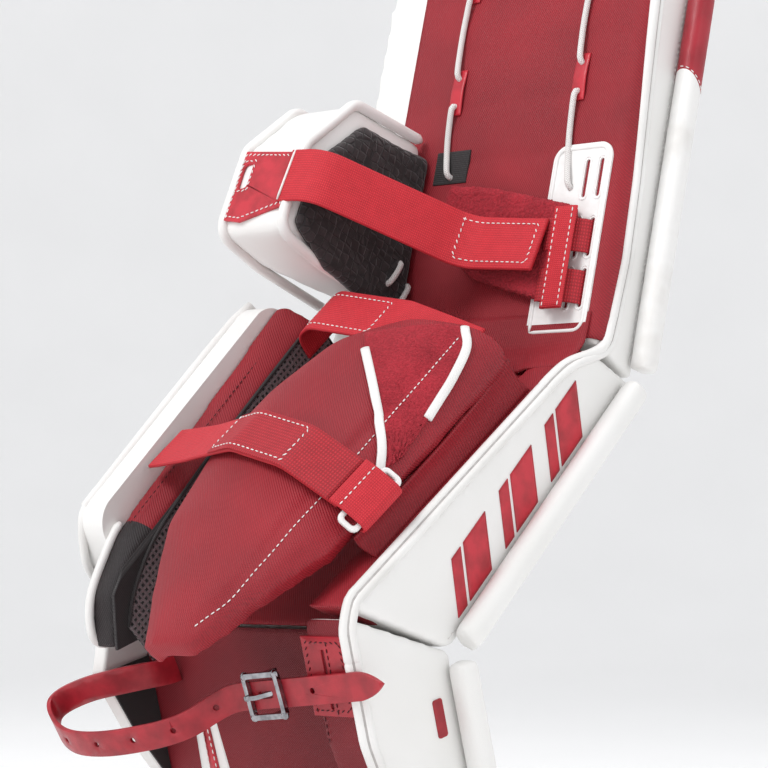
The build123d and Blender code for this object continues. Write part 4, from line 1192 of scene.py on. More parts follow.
# The groove tube is grey, painted shadow between the two rolls.
# Each roll: its distance forward of the edge on the shin and on the thigh, its x, and its radius.
for part, aside, thigh_aside, x, radius, finish in (("inner", 2.6, 0, -4.6, 3.7, PIPING),
                                                    ("outer", 5.4, 6.4, -0.4, 3.0, PIPING),
                                                    ("groove", 3.5, 3.4, -1.9, 2.2, SEAM_SHADOW)):
    along = smooth_line([thigh_edge(50, thigh_aside), thigh_edge(34, thigh_aside),
                         thigh_edge(14, thigh_aside - 1), shin_edge(shin_top - 22, aside + 1, x + 2.6),
                         shin_edge(shin_top - 40, aside, x), shin_edge(shin_top - 56, aside, x)])
    bends(tube(f"knee_piping_{part}", along, radius, 12), "white_leather", finish,
          "shin", "thigh", *knee_ends)
    along = smooth_line([shin_edge(foot + 34, aside, x), shin_edge(foot + 20, aside, x),
                         shin_edge(foot + 9, aside + 1, x), boot_edge(boot_top - 10, aside + 1, x),
                         boot_edge(boot_top - 22, aside, x), boot_edge(boot_top - 36, aside, x)])
    bends(tube(f"boot_break_piping_{part}", along, radius, 12), "white_leather", finish,
          "shin", "boot", *boot_ends)
print("blended piping at", round(foot, 1), "and", round(shin_top, 1), "mm up the shin")

# %% [markdown]
# Behind the knee the thigh panel runs on into the channel as one piece of nylon. A grid of six
# rows of places, three on each side of the break, is smoothed along its length.

# %% Nylon cover over the knee break
COVER_X = (-60.0, SIDE_X - 6)
COVER_CELLS = 40
cover_rows = []
for place, u, n in ((THIGH, 38, 49.2), (THIGH, 27, 49.8), (THIGH, 18, 50.8),
                    (SHIN, -18, 50.8), (SHIN, -27, 51.0), (SHIN, -44, 51.0)):
    row = []
    for k in range(COVER_CELLS + 1):
        x = COVER_X[0] + (COVER_X[1] - COVER_X[0]) * k / COVER_CELLS
        onto = min(max((x - 70) / 10, 0), 1) if place is SHIN else 0.0
        wall = wall_path("shin_binding", SHIN, 0, -5.2, (u, u))[0][2] if place is SHIN else n
        row.append(place @ Vector((x, u, n + (max(wall, n) - n) * onto)))
    cover_rows.append(row)
fine = [smooth_line([row[k] for row in cover_rows], 0.003) for k in range(COVER_CELLS + 1)]
depth = min(len(line) for line in fine)
cells = [fine[k][i] for i in range(depth) for k in range(COVER_CELLS + 1)]
knee_cover = grid_sheet("knee_cover", cells, depth - 1, COVER_CELLS, 1.6)
bends(knee_cover, "red_nylon", SHIN_NYLON, "shin", "thigh", *knee_ends)
sew("thigh", [THIGH @ Vector((x, 17, REAR + 2.6)) for x in (-56, 20, 56)], "dark", 4.4, 3.0, 0.8)
print("knee cover", len(knee_cover.data.polygons))

# %% Straight piping on the shin and boot
piping("shin_piping", "shin_binding", SHIN, "shin", "shin_binding",
       (shin_edge_low[1] + 24, shin_edge_high[1] - 46))
piping("boot_piping", "boot_binding", BOOT, "boot", "boot_binding",
       (boot_edge_low[1] + 2, boot_edge_high[1] - 26))
print("straight piping from", round(shin_edge_low[1] + 24), "to", round(shin_edge_high[1] - 46), "mm")

# %% [markdown]
# ## The knee block
# The block on the medial side is stiff foam in white leather with a thick piped rim, and a black
# embossed cushion faces the knee. Both are puffed by cloth, and the rim is a tube that follows
# the block's outline.

# %% Knee block and cushion
block = soften("knee_block_soft", ["knee_block"], 5, 4, pressure=3.0, cap=3.0)
complete(block, "thigh", WHITE, ["knee_block"])
cushion = soften("block_cushion_soft", ["block_cushion"], 3, 4, pressure=2.0, cap=2.0)
complete(cushion, "thigh", KNIT, ["block_cushion"])
block_low, block_high = span("knee_block", BLOCK)
# The rim's corners are the block's own, as (up, rearward), and each corner is rounded.
RIM = ((38, 62), (34, 144), (38, 190), (108, 190), (160, 158), (170, 84))
for side_name, side_x, radius in (("inner", block_high[0] - 1, 4.2), ("outer", block_low[0] + 2, 4.0)):
    rim = [BLOCK @ Vector((side_x, u, n)) for u, n in rounded(RIM, 16, 4)]
    piece = tube(f"block_rim_{side_name}", rim, radius, 12)
    complete(piece, "thigh", PIPING)
print("knee block", len(block.data.polygons))

# %% [markdown]
# Two short loops of lace hold the cushion to the block. Each comes out of the cushion, lies on
# it in an arch, and goes back in, so a smooth line through five places is enough.

# %% Lace loops through the cushion
cushion_x = span("block_cushion", BLOCK)[1][0]
for number, (u, n) in enumerate(((58, 80), (46, 66))):
    loop = curve_points([(cushion_x - 1, u - 11, n + 3.3), (cushion_x + 3.2, u - 9, n + 2.7),
                         (cushion_x + 4.6, u, n), (cushion_x + 3.2, u + 9, n - 2.7),
                         (cushion_x - 1, u + 11, n - 3.3)], 2)
    piece = tube(f"cushion_lace_{number}", [BLOCK @ Vector(p) for p in loop], 2.2, 10)
    complete(piece, "thigh", LACE, ["cushion_laces"])
print("cushion surface", round(cushion_x, 1), "mm across")

# %% [markdown]
# Leather tabs are cut from flat hide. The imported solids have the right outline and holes, so
# they stay, with their doubled points welded and their edges eased.

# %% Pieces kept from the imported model
def dress(node, material, ease=0.5, segments=2):
    """Welds and eases the edges of a CAD node, and gives it its finish."""
    obj = nodes[node]
    weld = obj.modifiers.new("weld", "WELD")
    weld.merge_threshold = 1e-5
    bevel = obj.modifiers.new("eased edges", "BEVEL")
    bevel.width = ease * MM
    bevel.segments = segments
    bevel.limit_method = "ANGLE"
    bevel.angle_limit = radians(40)
    obj.data.materials.clear()
    obj.data.materials.append(material)
    return obj


dress("strap_tab", TAB_LEATHER, 0.7)
dress("boot_strap", STRAP_LEATHER, 0.12, 1)
dress("buckle_strap", STRAP_LEATHER, 0.5)
dress("boot_tab", STRAP_LEATHER, 0.6)
dress("slotted_plate", WHITE_VINYL, 0.6)
dress("size_label", STRAP_LEATHER, 0.25)
dress("toe_bridge", WHITE_PLASTIC, 0.8)
dress("strap_ring", WHITE_PLASTIC, 0.3)
dress("ring_keeper", WEBBING, 0.3)
dress("buckle_frame", CHROME, 0.7, 3)
dress("buckle_prong", CHROME, 0.5, 3)
dress("felt_patch", LINING, 0.5)
dress("medial_board", WHITE, 5.0, 4)
dress("boot_wall", WHITE, 3.0, 4)
dress("boot_wall_liner", LINING, 0.5)
dress("wing_liner", LINING, 0.8)
print("kept pieces", [name for name, obj in nodes.items() if "eased edges" in obj.modifiers])

# %% [markdown]
# Tabs and the slotted plate have a row of stitches or a raised rim just inside their outlines.
# The outline moved inward is worked out from its corners, so a row keeps its distance all round.

# %% Stitches on the strap tab and the boot tab
def inset_outline(points, amount):
    """A closed outline moved inward by an amount, all in mm."""
    made = []
    count = len(points)
    area = sum(points[i][0] * points[(i + 1) % count][1] - points[(i + 1) % count][0] * points[i][1]
               for i in range(count))
    turn = 1 if area > 0 else -1
    for i in range(count):
        before, here, after = (np.array(points[j % count], float) for j in (i - 1, i, i + 1))
        first = (here - before) / np.linalg.norm(here - before)
        last = (after - here) / np.linalg.norm(after - here)
        first_in = np.array((-first[1], first[0])) * turn
        last_in = np.array((-last[1], last[0])) * turn
        bisect = first_in + last_in
        bisect /= np.linalg.norm(bisect)
        made.append(tuple(here + bisect * amount / max(0.3, np.dot(bisect, first_in))))
    return made


def flat_seam(body, place, outline, level, inset=3.2, **how):
    """A closed row of stitches inside an outline (across, up) at a depth in a section."""
    inner = inset_outline(outline, inset)
    sew(body, [place @ Vector((x, u, level)) for x, u in inner + inner[:1]], **how)


TAB_OUTLINE = ((-138, 48), (-138, 106), (-78, 100), (-78, 56), (-120, 45))  # (across, up)
tab_level = span("strap_tab", BLOCK)[1][2] + 0.3
flat_seam("thigh", BLOCK, TAB_OUTLINE, tab_level)
window = [(-129 + a, 84 + b) for a, b in ((-6.5, -12.5), (6.5, -12.5), (6.5, 12.5), (-6.5, 12.5))]
flat_seam("thigh", BLOCK, window, tab_level, 0.0)
sew("thigh", [BLOCK @ Vector((-81, u, tab_level)) for u in (58, 98)], dash=3.6)
boot_tab_low, boot_tab_high = span("boot_tab", BOOT)
tab_box = [(boot_tab_low[0], boot_tab_low[1]), (boot_tab_high[0], boot_tab_low[1]),
           (boot_tab_high[0], boot_tab_high[1]), (boot_tab_low[0], boot_tab_high[1])]
flat_seam("boot", BOOT, tab_box, boot_tab_high[2] + 0.25, 4.0, thread="dark")
sew("boot", [BOOT @ Vector((96.5, u, boot_tab_high[2] + 0.25)) for u in (-16, 30)], thread="dark")
plate_low, plate_high = span("slotted_plate", THIGH)
border = [(plate_low[0], plate_low[1]), (plate_high[0], plate_low[1]),
          (plate_high[0], plate_high[1]), (plate_low[0], plate_high[1])]
rim = rounded([*inset_outline(border, 3.4), inset_outline(border, 3.4)[0]], 9, 4)
raised = tube("plate_rim", [THIGH @ Vector((p[0], p[1], plate_high[2] - 0.2)) for p in rim], 1.5, 8)
complete(raised, "thigh", WHITE_VINYL)
for x in (91, 104):
    for u in (56, 94, 139):
        lip = [(x + 3.4 * cos(t), u + 13 * (1 if sin(t) > 0 else -1) + 3.4 * sin(t))
               for t in [2 * pi * (k + 0.5) / 16 for k in range(16)]]
        ring = tube(f"slot_lip_{x}_{u}", [THIGH @ Vector((a, b, plate_high[2])) for a, b in lip],
                    0.7, 6, closed=True)
        complete(ring, "thigh", WHITE_VINYL)
print("kept pieces dressed")

# %% [markdown]
# ## Laces
# Two laces run up the panel through the leather tabs. Each rises from a hole, lies on the panel
# in a slight bow, and goes back in at the next hole. A physics rope would settle the same way,
# but a lace held at both ends and pulled snug needs only a few heights over the panel.


# %% Laces over the thigh panel
def lace_run(name, first, last, bow, node):
    """A lace from one hole (across, up) to another, bowed sideways in its middle."""
    (x0, u0), (x1, u1) = first, last
    route = []
    for share, height in ((0, -3), (0, 2.5), (0.05, 5.6), (0.28, 4.2), (0.5, 3.6), (0.72, 4.2),
                          (0.95, 5.6), (1, 2.5), (1, -3)):
        side = bow * sin(pi * share)
        route.append((x0 + (x1 - x0) * share + side, u0 + (u1 - u0) * share, REAR + height))
    piece = tube(name, [THIGH @ Vector(p) for p in curve_points(route, 2.5)], 2.3, 10)
    return complete(piece, "thigh", LACE, [node])


for number, (x, u) in enumerate(((-50, 219), (-50, 310), (70, 219), (70, 310))):
    path = curve_points([(u - 18, 1.6), (u - 12, 2.0), (u, 2.9), (u + 12, 2.0), (u + 18, 1.6)], 2)
    tab = Ribbon([THIGH @ Vector((x, a, REAR + n)) for a, n in path],
                 [direction(THIGH, 1, 0, 0)] * len(path), [direction(THIGH, 0, 0, 1)] * len(path),
                 12, 1.7)
    complete(tab.mesh(f"lace_tab_{number}"), "thigh", TAB_LEATHER, ["lace_tabs"])
for side_name, x, hole in (("left", -50, (-43, 151)), ("right", 70, (78, 133))):
    lace_run(f"{side_name}_lace_low", hole, (x, 208), -4, f"{side_name}_lace")
    lace_run(f"{side_name}_lace_high", (x, 230), (x, 299), -4, f"{side_name}_lace")

# %% [markdown]
# ## The fleece knee wrap
# A brushed pad lies over the panel and its end is bound with a stitched band, from which two
# webbing tabs run into the plate's slots.

# %% Fleece pad, end band and webbing
fleece = soften("fleece_pad_soft", ["fleece_pad"], 3, 4)
smooth_fleece = np.array([v.co for v in fleece.data.vertices])
tufts = np.random.default_rng(7).normal(0, 0.35 * MM, smooth_fleece.shape)
fleece.data.vertices.foreach_set("co", (smooth_fleece + tufts).ravel())
complete(fleece, "thigh", FLEECE, ["fleece_pad"])
band_low, band_high = span("wrap_end_trim", THIGH)
band_ups = np.arange(band_low[1], band_high[1] + 0.1, 4)
band_x = (band_low[0] + band_high[0]) / 2
END_BAND = Ribbon([THIGH @ Vector((band_x, u, band_low[2] + 1.1)) for u in band_ups],
                  [direction(THIGH, 1, 0, 0)] * len(band_ups),
                  [direction(THIGH, 0, 0, 1)] * len(band_ups), band_high[0] - band_low[0] + 4, 2.4)
complete(END_BAND.mesh("wrap_end_band", 0.3), "thigh", ELASTIC, ["wrap_end_trim"])
for share in (-0.72, 0.72):
    sew("thigh", [END_BAND.spot(s, share) for s in (3, 40, END_BAND.length - 3)])
for number, u in enumerate((56, 94)):
    route = [(72, u, 62), (88, u, 61.0), (97.5, u, 56), (103, u, 51.5), (104, u, 47.6)]
    line = curve_points(route, 3)
    outs = []
    for i in range(len(line)):
        run = line[min(i + 1, len(line) - 1)] - line[max(i - 1, 0)]
        run /= np.linalg.norm(run)
        outs.append(direction(THIGH, -run[2], 0, run[0]))
    tape = Ribbon([THIGH @ Vector(p) for p in line], [direction(THIGH, 0, 1, 0)] * len(line), outs,
                  25, 1.5)
    complete(tape.mesh(f"wrap_webbing_{number}"), "thigh", WEBBING, ["wrap_webbing"])
print("fleece wrap", len(fleece.data.polygons))

# %% [markdown]
# ## Straps
# The knee strap, upper strap and calf strap are woven elastic 38 to 42 mm wide. Each takes the
# place of its packed band: the same route, with softer bends and a little ripple at its edges,
# and a stitched rectangle where the hook cloth is sewn on underneath.

# %% Knee strap
KNEE_ROUTE = ((-84, tab_level), (-52, tab_level), (6, 86), (74, 80.8))
KNEE_STRAP = section_strap(BLOCK, 75, 3, KNEE_ROUTE, 42, 2.6, 30)
complete(KNEE_STRAP.mesh("knee_strap_elastic", 0.5), "knee_strap", ELASTIC,
         ["knee_strap"])


def strap_box(ribbon, body, ends, across=0.74):
    """A stitched rectangle on a strap, between two distances along it."""
    first, last = ends
    steps = np.linspace(first, last, 14)
    rows = [ribbon.spot(s, across) for s in steps] + [ribbon.spot(s, -across) for s in steps[::-1]]
    sew(body, rows + rows[:1])


strap_box(KNEE_STRAP, "knee_strap", (KNEE_STRAP.length - 72, KNEE_STRAP.length - 6))
start_bar = [KNEE_STRAP.spot(3, a, 0.5) for a in np.linspace(-0.98, 0.98, 12)]
complete(tube("knee_strap_edge", start_bar, 0.9, 6), "knee_strap", WHITE_THREAD)
print("knee strap", round(KNEE_STRAP.length), "mm")

# %% Upper and calf straps
UPPER_ROUTE = ((-92.5, 90), (-90.5, 110), (-72, 119), (0, 111), (60, 88))
UPPER = section_strap(SHIN, -54, 7, UPPER_ROUTE, 42, 2.6, 20)
complete(UPPER.mesh("upper_strap_elastic", 0.4), "shin", ELASTIC, ["upper_strap"])
strap_box(UPPER, "shin", (34, 98))

CALF_UP, CALF_TURN = -222, 11  # where the calf strap crosses the shin, and its turn in degrees
CALF_ROUTE = ((-117, 124.5), (-104, 127.5), (-60, 138.5), (12, 160), (62, 153), (99, 123))
CALF = section_strap(SHIN, CALF_UP, CALF_TURN, CALF_ROUTE, 38, 2.6, 26)
complete(CALF.mesh("calf_strap_elastic", 0.4), "calf_strap", ELASTIC, ["calf_strap"])
HOOK_ROUTE = ((-20, 153), (12, 163), (63, 156), (96, 129.5))
HOOK = section_strap(SHIN, CALF_UP, CALF_TURN, HOOK_ROUTE, 38, 1.6, 24)
complete(HOOK.mesh("calf_strap_hook_layer"), "calf_strap", WEBBING,
         ["calf_strap_hook"])
strap_box(HOOK, "calf_strap", (3, 84), 0.8)
# The strap's end passes through the ring and folds back on itself.
FOLD_ROUTE = ((97.5, 130.2), (101.5, 127.0), (107.4, 121.4), (115.6, 111), (115.4, 106.2),
              (111.0, 105.6))
FOLD = section_strap(SHIN, CALF_UP, CALF_TURN, FOLD_ROUTE, 39, 2.4, 3.5, 2.0)
complete(FOLD.mesh("calf_strap_fold", 0.2), "strap_ring", ELASTIC)
sew("strap_ring", [FOLD.spot(8, a) for a in np.linspace(-0.85, 0.85, 9)])
print("straps", round(UPPER.length), round(CALF.length), "mm")

# %% [markdown]
# ## The calf wrap and the wing
# The wrap is the most padded piece: a shaped foam shell in red nylon that folds over the calf.
# It is puffed by cloth, and its long seam is pressed in after that, because the remesh would
# have erased it.

# %% Calf wrap
WRAP_SEAM = ((90, -84), (86.5, -121), (82, -176), (77.6, -238), (73.4, -270), (66, -313),
             (58, -341), (39, -364))
seam_line = [np.array(p) for p in curve_points(WRAP_SEAM, 4)]
seam_array = np.array(seam_line)
back_to_shin = SHIN.inverted()
NOSE = -118.0  # above here the wrap's nose is drawn in a little
TIP = -335.0  # and below here its tip is drawn out
rear_of_shin = direction(SHIN, 0.45, 0, 0.9)


def pressed(co):
    """Presses the sewn channel of the long seam into the wrap's outer side."""
    local = back_to_shin @ co
    if local.y > NOSE:
        local.y = NOSE + (local.y - NOSE) * 0.72
        co = SHIN @ local
    if local.y < TIP:
        local.y = TIP + (local.y - TIP) * 1.35
        co = SHIN @ local
    if local.z < 95:
        return co
    gap = float(np.min(np.hypot(seam_array[:, 0] - local.x, seam_array[:, 1] - local.y)))
    return co - rear_of_shin * 2.4 * MM * float(np.exp(-(gap / 3.4) ** 2))


wrap = soften("calf_wrap_pad", ["wrap_pad"], 4, 3, pressure=3.5, cap=2.5, keep=pressed)
complete(wrap, "calf_wrap", SHIN_NYLON, ["wrap_pad"])
wrap_tree = surface(wrap)
OUTWARD = (-0.42, 0, -0.9)  # looking at the wrap from behind and a little from its lateral side
WRAP_DEPTH = 118.0  # about how far back the wrap lies


def on_wrap(points, lift, step=4.0):
    """A smooth line of (across, up) points laid on the wrap."""
    line = curve_points(points, step)
    starts = [(x, u, WRAP_DEPTH) for x, u in line]
    return laid(wrap_tree, SHIN, starts, lift, OUTWARD)


sew("calf_wrap", on_wrap(WRAP_SEAM, 0.5), pitch=4.4, dash=3.0, width=0.9)
BAND_ONE = ((32.4, -129.2), (59.4, -160), (77.6, -182.1), (90.2, -199.5), (99, -217.2))
BAND_TWO = ((86.4, -79.5), (96.8, -94.3), (101, -120.4), (102.2, -142.2), (102.8, -160))
print("wrap", len(wrap.data.polygons))

# %% [markdown]
# The wrap hinges on a gusset: a strip of nylon from under its lateral edge down to the bolster.
# It could be a flat band, but loose cloth sags inward a little, so each row of the grid follows
# half a sine.

# %% Gusset that hinges the wrap
GUSSET_UP = (-262, -225, -160, -110, -72)
GUSSET_X = (95, 99, 101, 102, 102)
GUSSET_TOP = (99, 96, 90, 87, 87)
GUSSET_FOOT_X, GUSSET_SAG = 104, 3.5
gusset_points = []
GUSSET_ROWS, GUSSET_COLUMNS = 48, 10
for row in range(GUSSET_ROWS + 1):
    u = GUSSET_UP[0] + (GUSSET_UP[-1] - GUSSET_UP[0]) * row / GUSSET_ROWS
    top_x = float(np.interp(u, GUSSET_UP, GUSSET_X))
    top_n = float(np.interp(u, GUSSET_UP, GUSSET_TOP))
    foot_n = wall_path("shin_binding", SHIN, 0, -5.0, (u, u))[0][2]
    for column in range(GUSSET_COLUMNS + 1):
        t = column / GUSSET_COLUMNS
        x = top_x + (GUSSET_FOOT_X - top_x) * t - GUSSET_SAG * sin(pi * t)
        gusset_points.append(SHIN @ Vector((x, u, top_n + (foot_n - top_n) * t)))
gusset = grid_sheet("wrap_gusset", gusset_points, GUSSET_ROWS, GUSSET_COLUMNS, 1.6)
complete(gusset, "calf_wrap", SHIN_NYLON, ["wrap_hinge_strip"])
print("gusset", len(gusset.data.polygons))

# %% [markdown]
# The brushed patch between the two white bands is a thin layer that follows the wrap. It is laid
# from its two long edges, dropped on the wrap, and roughened into a nap by small random moves.
# The bands are sewn tapes, so they are narrow ribbons that lean with the surface under them.

# %% Laid layers and the loop patch
def layer(name, edge_a, edge_b, tree, place, depth, look, thickness, step=3.0, lift=0.4, fuzz=0.0):
    """A thin layer between two edges (across, up), laid on a surface and given a thickness."""
    first, last = curve_points(edge_a, step), curve_points(edge_b, step)
    rows = max(len(first), len(last))
    pick = [i / (rows - 1) for i in range(rows)]

    def share(line, t):
        spot = t * (len(line) - 1)
        i = min(int(spot), len(line) - 2)
        return line[i] + (line[i + 1] - line[i]) * (spot - i)

    wide = max(np.linalg.norm(share(first, t) - share(last, t)) for t in pick)
    columns = max(2, int(wide / step))
    points = []
    tufts_of = np.random.default_rng(11)
    for t in pick:
        a, b = share(first, t), share(last, t)
        line = [(*(a + (b - a) * c / columns), depth) for c in range(columns + 1)]
        row = laid(tree, place, line, lift, look)
        for spot in row:
            points.append(spot + Vector(tufts_of.normal(0, fuzz, 3)) * MM)
    return grid_sheet(name, points, rows - 1, columns, thickness)


patch_left = ((20, -112), *BAND_ONE)
patch_right = ((86, -79), (97, -96), (101.5, -122), (103, -146), (103.6, -168), (104, -196))
patch = layer("wrap_loop_cloth", patch_left, patch_right, wrap_tree, SHIN, WRAP_DEPTH, OUTWARD,
              1.6, 2.2, 0.7, 0.28)
complete(patch, "calf_wrap", LOOP_CLOTH, ["wrap_loop_patch"])
PATCH_SEAM = ((88, -92), (86.5, -121), (83, -165), (82, -180))
sew("calf_wrap", on_wrap(PATCH_SEAM, 2.0), pitch=4.4, dash=3.0, width=0.9)
for number, line in enumerate((BAND_ONE, BAND_TWO)):
    places = on_wrap(line, 0.9, 3.0)
    outs = [wrap_tree.find_nearest(spot)[1] for spot in places]
    wides = []
    for i, out in enumerate(outs):
        run = (places[min(i + 1, len(places) - 1)] - places[max(i - 1, 0)]).normalized()
        wides.append(out.cross(run).normalized())
    strip = Ribbon([p + o * MM for p, o in zip(places, outs)], wides, outs, 6.5, 2.6)
    complete(strip.mesh(f"wrap_white_band_{number}", 0, 1.2), "calf_wrap", PIPING)
print("loop patch", len(patch.data.polygons))

# %% [markdown]
# The wing stands on the medial side of the channel. It is puffed like the wrap, red above and a
# black gusset with a white edge at its foot. One material paints both, split at a height, because
# they are one pad. A strip of grey spacer mesh runs along the inside of its rear edge.

# %% Wing
wing = soften("wing_pad_soft", ["wing_pad"], 4, 3, pressure=2.0, cap=1.5)
WING_SPLIT = -258.0  # below here the wing is a black gusset with a white edge


def wing_finish():
    """The shin's red nylon above the split, and black woven lining below it."""
    material = SHIN_NYLON.copy()
    material.name = "red nylon wing with black foot"
    tree = material.node_tree
    shader = tree.nodes["Principled BSDF"]
    red = shader.inputs["Base Color"].links[0].from_socket
    apart = add(tree, "ShaderNodeSeparateXYZ", Vector=turned(tree, SHIN_LEAN)).outputs
    below = mixed(tree, apart[2], WING_SPLIT * MM, "LESS_THAN")
    drift = noise(tree, turned(tree), 20, 3.0)
    tone = add(tree, "ShaderNodeMix", {"data_type": "RGBA"}, i0=below, i6=red,
               i7=ramp(tree, drift, "#0E0B0C", "#2A2224")).outputs[2]
    tree.links.new(tone, shader.inputs["Base Color"])
    return material


complete(wing, "shin", wing_finish(), ["wing_pad"])
GUSSET_EDGE = ((-262, 113), (-276, 110.5), (-316, 95), (-334, 74), (-330, 60))
wing_x = span("wing_pad", SHIN)[0][0] + 2
white_edge = [SHIN @ Vector((wing_x, u, n)) for u, n in curve_points(GUSSET_EDGE, 4)]
complete(tube("gusset_white_edge", white_edge, 3.2, 10), "shin", PIPING)
print("wing", len(wing.data.polygons))

# %% Spacer mesh along the wing
inner_x = span("wing_liner", SHIN)[1][0] + 0.2
MESH_EDGE = ((-38, 105), (-120, 105), (-200, 103.5), (-262, 98), (-300, 85), (-322, 70))
mesh_rear = [np.array(p, float) for p in curve_points(MESH_EDGE, 5)]
MESH_WIDE, MESH_CELLS, MESH_CROWN = 34.0, 8, 0.9
cells = []
for u, n in mesh_rear:
    for c in range(MESH_CELLS + 1):
        x = inner_x + MESH_CROWN * sin(pi * c / MESH_CELLS) + 0.3
        cells.append(SHIN @ Vector((x, u, n - MESH_WIDE * c / MESH_CELLS)))
strip = grid_sheet("wing_mesh_strip", cells, len(mesh_rear) - 1, MESH_CELLS, 1.2)
complete(strip, "shin", MESH)
edge = [SHIN @ Vector((inner_x + 0.4, u, n + 0.8)) for u, n in mesh_rear]
complete(tube("wing_edge_piping", edge, 1.5, 8), "shin", LINING)
sew("shin", [SHIN @ Vector((-110.5, u, 114.2)) for u in (-60, -262)], "dark", 5.0, 3.4, 0.8)
print("mesh strip", len(strip.data.polygons))

# %% [markdown]
# The white board outside the wing is stiff, and its edge is bound. The binding is a tube round
# the board's own outline, with a row of stitches just inside it.

# %% White board edge
board_x = span("medial_board", SHIN)[0][0]
BOARD_EDGE = ((-34, 12), (-37, 100), (-44, 118), (-60, 129), (-240, 129), (-262, 127), (-280, 112),
              (-289, 82), (-262, 14))
rim = [SHIN @ Vector((board_x + 3, u, n)) for u, n in curve_points(BOARD_EDGE, 5)]
complete(tube("board_piping", rim, 3.2, 10), "shin", PIPING)
seam = [SHIN @ Vector((board_x - 0.2, u, n)) for u, n in
        curve_points([(p[0] + (6 if p[0] < -150 else -6), min(p[1], 119)) for p in BOARD_EDGE[1:-1]], 5)]
sew("shin", seam, "white", 5.0, 3.4, 0.9)
print("board edge", len(rim), "places")

# %% [markdown]
# ## Side stripes, seams and small fittings
# The lateral side carries a plain pattern: slanted red stripes set into the white leather. Each
# is a thin inlay laid on the side wall, so that its cut edge shows, as an appliqued one does.

# %% Slanted stripes on the shin's side
side_tree = surface(shin_shell)
SIDE_LOOK = (-1, 0, 0)


def side_layer(name, corners, thickness=0.9):
    """A four-cornered inlay on the lateral side, its corners as (up, rearward)."""
    (a, b, c, d) = corners
    rows, columns = 14, 10
    points = []
    for r in range(rows + 1):
        left = np.array(a, float) + (np.array(d, float) - np.array(a, float)) * r / rows
        right_end = np.array(b, float) + (np.array(c, float) - np.array(b, float)) * r / rows
        line = [left + (right_end - left) * k / columns for k in range(columns + 1)]
        points += laid(side_tree, SHIN, [(124, u, n) for u, n in line], 0.35, SIDE_LOOK)
    made = grid_sheet(name, points, rows, columns, thickness)
    return complete(made, "shin", TAB_LEATHER)


STRIPE_REAR, STRIPE_FRONT, STRIPE_SLANT = 43, 10, 22
for number, begin in enumerate((-46, -112, -178)):
    for half, (start, length) in enumerate(((0, 30), (34, 12))):
        top, bottom = begin - start, begin - start - length
        side_layer(f"side_stripe_{number}_{half}",
                   ((top, STRIPE_REAR), (bottom, STRIPE_REAR),
                    (bottom - STRIPE_SLANT, STRIPE_FRONT), (top - STRIPE_SLANT, STRIPE_FRONT)))
side_seam = [SHIN @ Vector((121.4, u, 7)) for u in (-12, -150, -262)]
sew("shin", side_seam, "white", 4.6, 3.0, 0.7)
sew("thigh", [THIGH @ Vector((121.4, u, 7)) for u in (12, 150, 290)], "white", 4.6, 3.0, 0.7)

# %% Slanting seam round the roll
ROLL_X, ROLL_ROUND = 121 + 9.5, 10.2
slant = [(ROLL_X + 9.7 * cos(t), SEAM_UP + 5 + SEAM_SLOPE * (1 + ROLL_ROUND * sin(t)),
          1 + ROLL_ROUND * sin(t)) for t in np.linspace(-0.5 * pi, 0.5 * pi, 15)]
sew("thigh", [THIGH @ Vector(p) for p in slant], "white", 4.4, 3.0, 0.8)
print("slanting seam at", round(SEAM_UP, 1), "mm up the thigh")

# %% [markdown]
# The buckle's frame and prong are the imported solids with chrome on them. A cast buckle also has a
# small boss at each corner and a ball where its prong pivots, which are added as ellipsoids.

# %% Buckle bosses and prong ball
frame_low, frame_high = span("buckle_frame", BOOT)
print("buckle", [round(v, 1) for v in frame_low], [round(v, 1) for v in frame_high])


def bead(name, place, centre, sizes, body, slot, material, rings=8, sides=12):
    """A smooth boss: an ellipsoid at a place in a section, sizes in mm."""
    verts, faces = [], []
    for r in range(rings + 1):
        lat = pi * r / rings
        for k in range(sides):
            lon = 2 * pi * k / sides
            offset = (sin(lat) * cos(lon) * sizes[0], sin(lat) * sin(lon) * sizes[1],
                      cos(lat) * sizes[2])
            verts.append(place @ Vector([c + o for c, o in zip(centre, offset)]))
    for r in range(rings):
        for k in range(sides):
            faces.append((r * sides + k, r * sides + (k + 1) % sides,
                          (r + 1) * sides + (k + 1) % sides, (r + 1) * sides + k))
    made = mesh_object(name, verts, faces)
    work = bmesh.new()
    work.from_mesh(made.data)
    bmesh.ops.remove_doubles(work, verts=work.verts, dist=1e-6)
    bmesh.ops.recalc_face_normals(work, faces=work.faces)
    work.to_mesh(made.data)
    work.free()
    return complete(made, body, material)


slope = 0.1  # the buckle lies a little out of level
for number, (x, side) in enumerate(((26, -1), (26, 1), (55, -1), (55, 1))):
    centre = (x - side * 13.6 * slope, -8 + slope * x + side * 13.8, frame_high[2] - 1.8)
    bead(f"buckle_boss_{number}", BOOT, centre, (3.4, 3.4, 2.3), "boot", "chrome", CHROME)
prong_low, prong_high = span("buckle_prong", BOOT)
bead("prong_ball", BOOT, (prong_low[0] + 1.2, -8 + slope * 25, prong_high[2] - 1.3), (2.4, 2.1, 1.9),
     "buckle_prong", "chrome", CHROME)

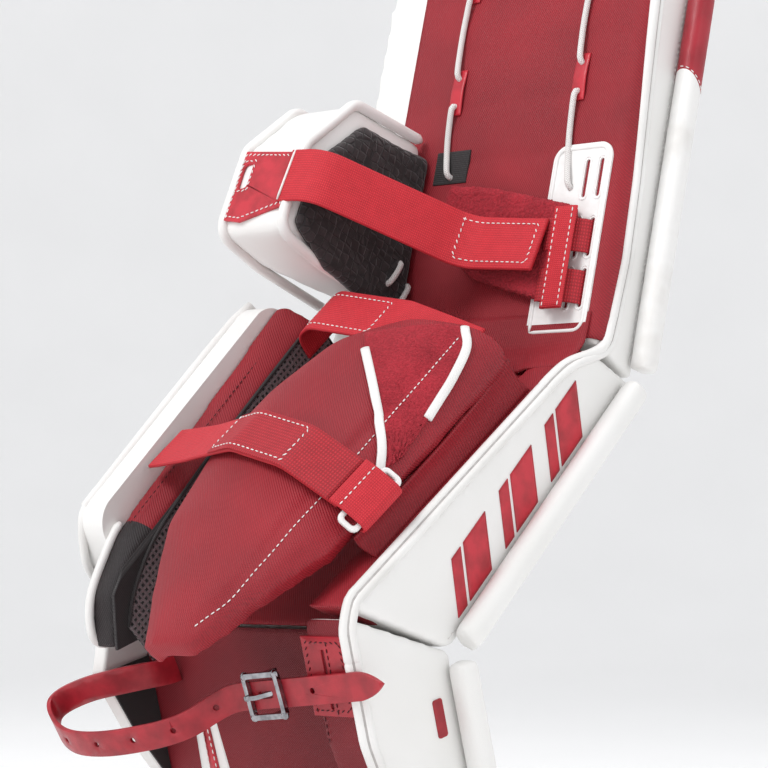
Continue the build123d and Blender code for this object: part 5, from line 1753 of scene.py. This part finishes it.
# %% [markdown]
# On the boot's inside a white stripe with a red one on it runs down beside the wall. Each is laid
# on what is under it: the white one on the shell, and the red one on the white.

# %% Boot stripes
sew("boot", [BOOT @ Vector((82, u, 87)) for u in (-12, -36)], "dark")
FROM_BEHIND = (0, 0, -1)
stripe = layer("boot_white_stripe", ((-88, -40), (-92, -120)), ((-66, -40), (-56, -120)),
               surface(boot_shell), BOOT, 60.0, FROM_BEHIND, 1.0, 4.0, 2.6)
complete(stripe, "boot", WHITE)
inner = layer("boot_red_stripe", ((-80, -42), (-80, -119)), ((-73, -42), (-69, -119)),
              surface(stripe), BOOT, 70.0, FROM_BEHIND, 0.8, 4.0, 0.7)
complete(inner, "boot", TAB_LEATHER)
for x0, x1 in ((-79, -79), (-74, -70)):
    sew("boot", [BOOT @ Vector((x0, -44, REAR + 3.2)), BOOT @ Vector((x1, -117, REAR + 3.2))])
print("boot stripes", len(stripe.data.polygons), len(inner.data.polygons))

# %% [markdown]
# The front is hidden from the leg side. It is the pad's smooth face, with a sewn border on each
# section and two long seams where the foam rolls under the leather change thickness.

# %% Seams on the front face
BORDER, LONG_SEAMS = 16, (62, 70)
for body, place, shell in (("thigh", THIGH, thigh_shell), ("shin", SHIN, shin_shell),
                           ("boot", BOOT, boot_shell)):
    low_end, high_end = span(f"{body}_face", place)
    face_tree = surface(shell)
    bottom, top = low_end[1] + BORDER, high_end[1] - BORDER
    if body == "thigh":
        bottom += 10
    medial = low_end[0] + 30
    lines = [[(x, u, -40.0) for u in np.arange(bottom, top, 6)] for x in (medial, *LONG_SEAMS)]
    lines += [[(x, u, -40.0) for x in np.arange(medial, LONG_SEAMS[0], 6)] for u in (bottom, top)]
    for line in lines:
        on_face = laid(face_tree, place, line, 0.3, (0, 0, 1), 60.0)
        sew(body, on_face, pitch=5.0, dash=3.4, width=0.8)
print("kinds of seam", len(seams))

# %% [markdown]
# All the stitches are made at once from the rows noted on the way. Then the imported model's box
# is printed.

# %% Threads, sizes and the end
make_stitches()
print("cad box", [[round(v, 3) for v in c] for c in cad_box])
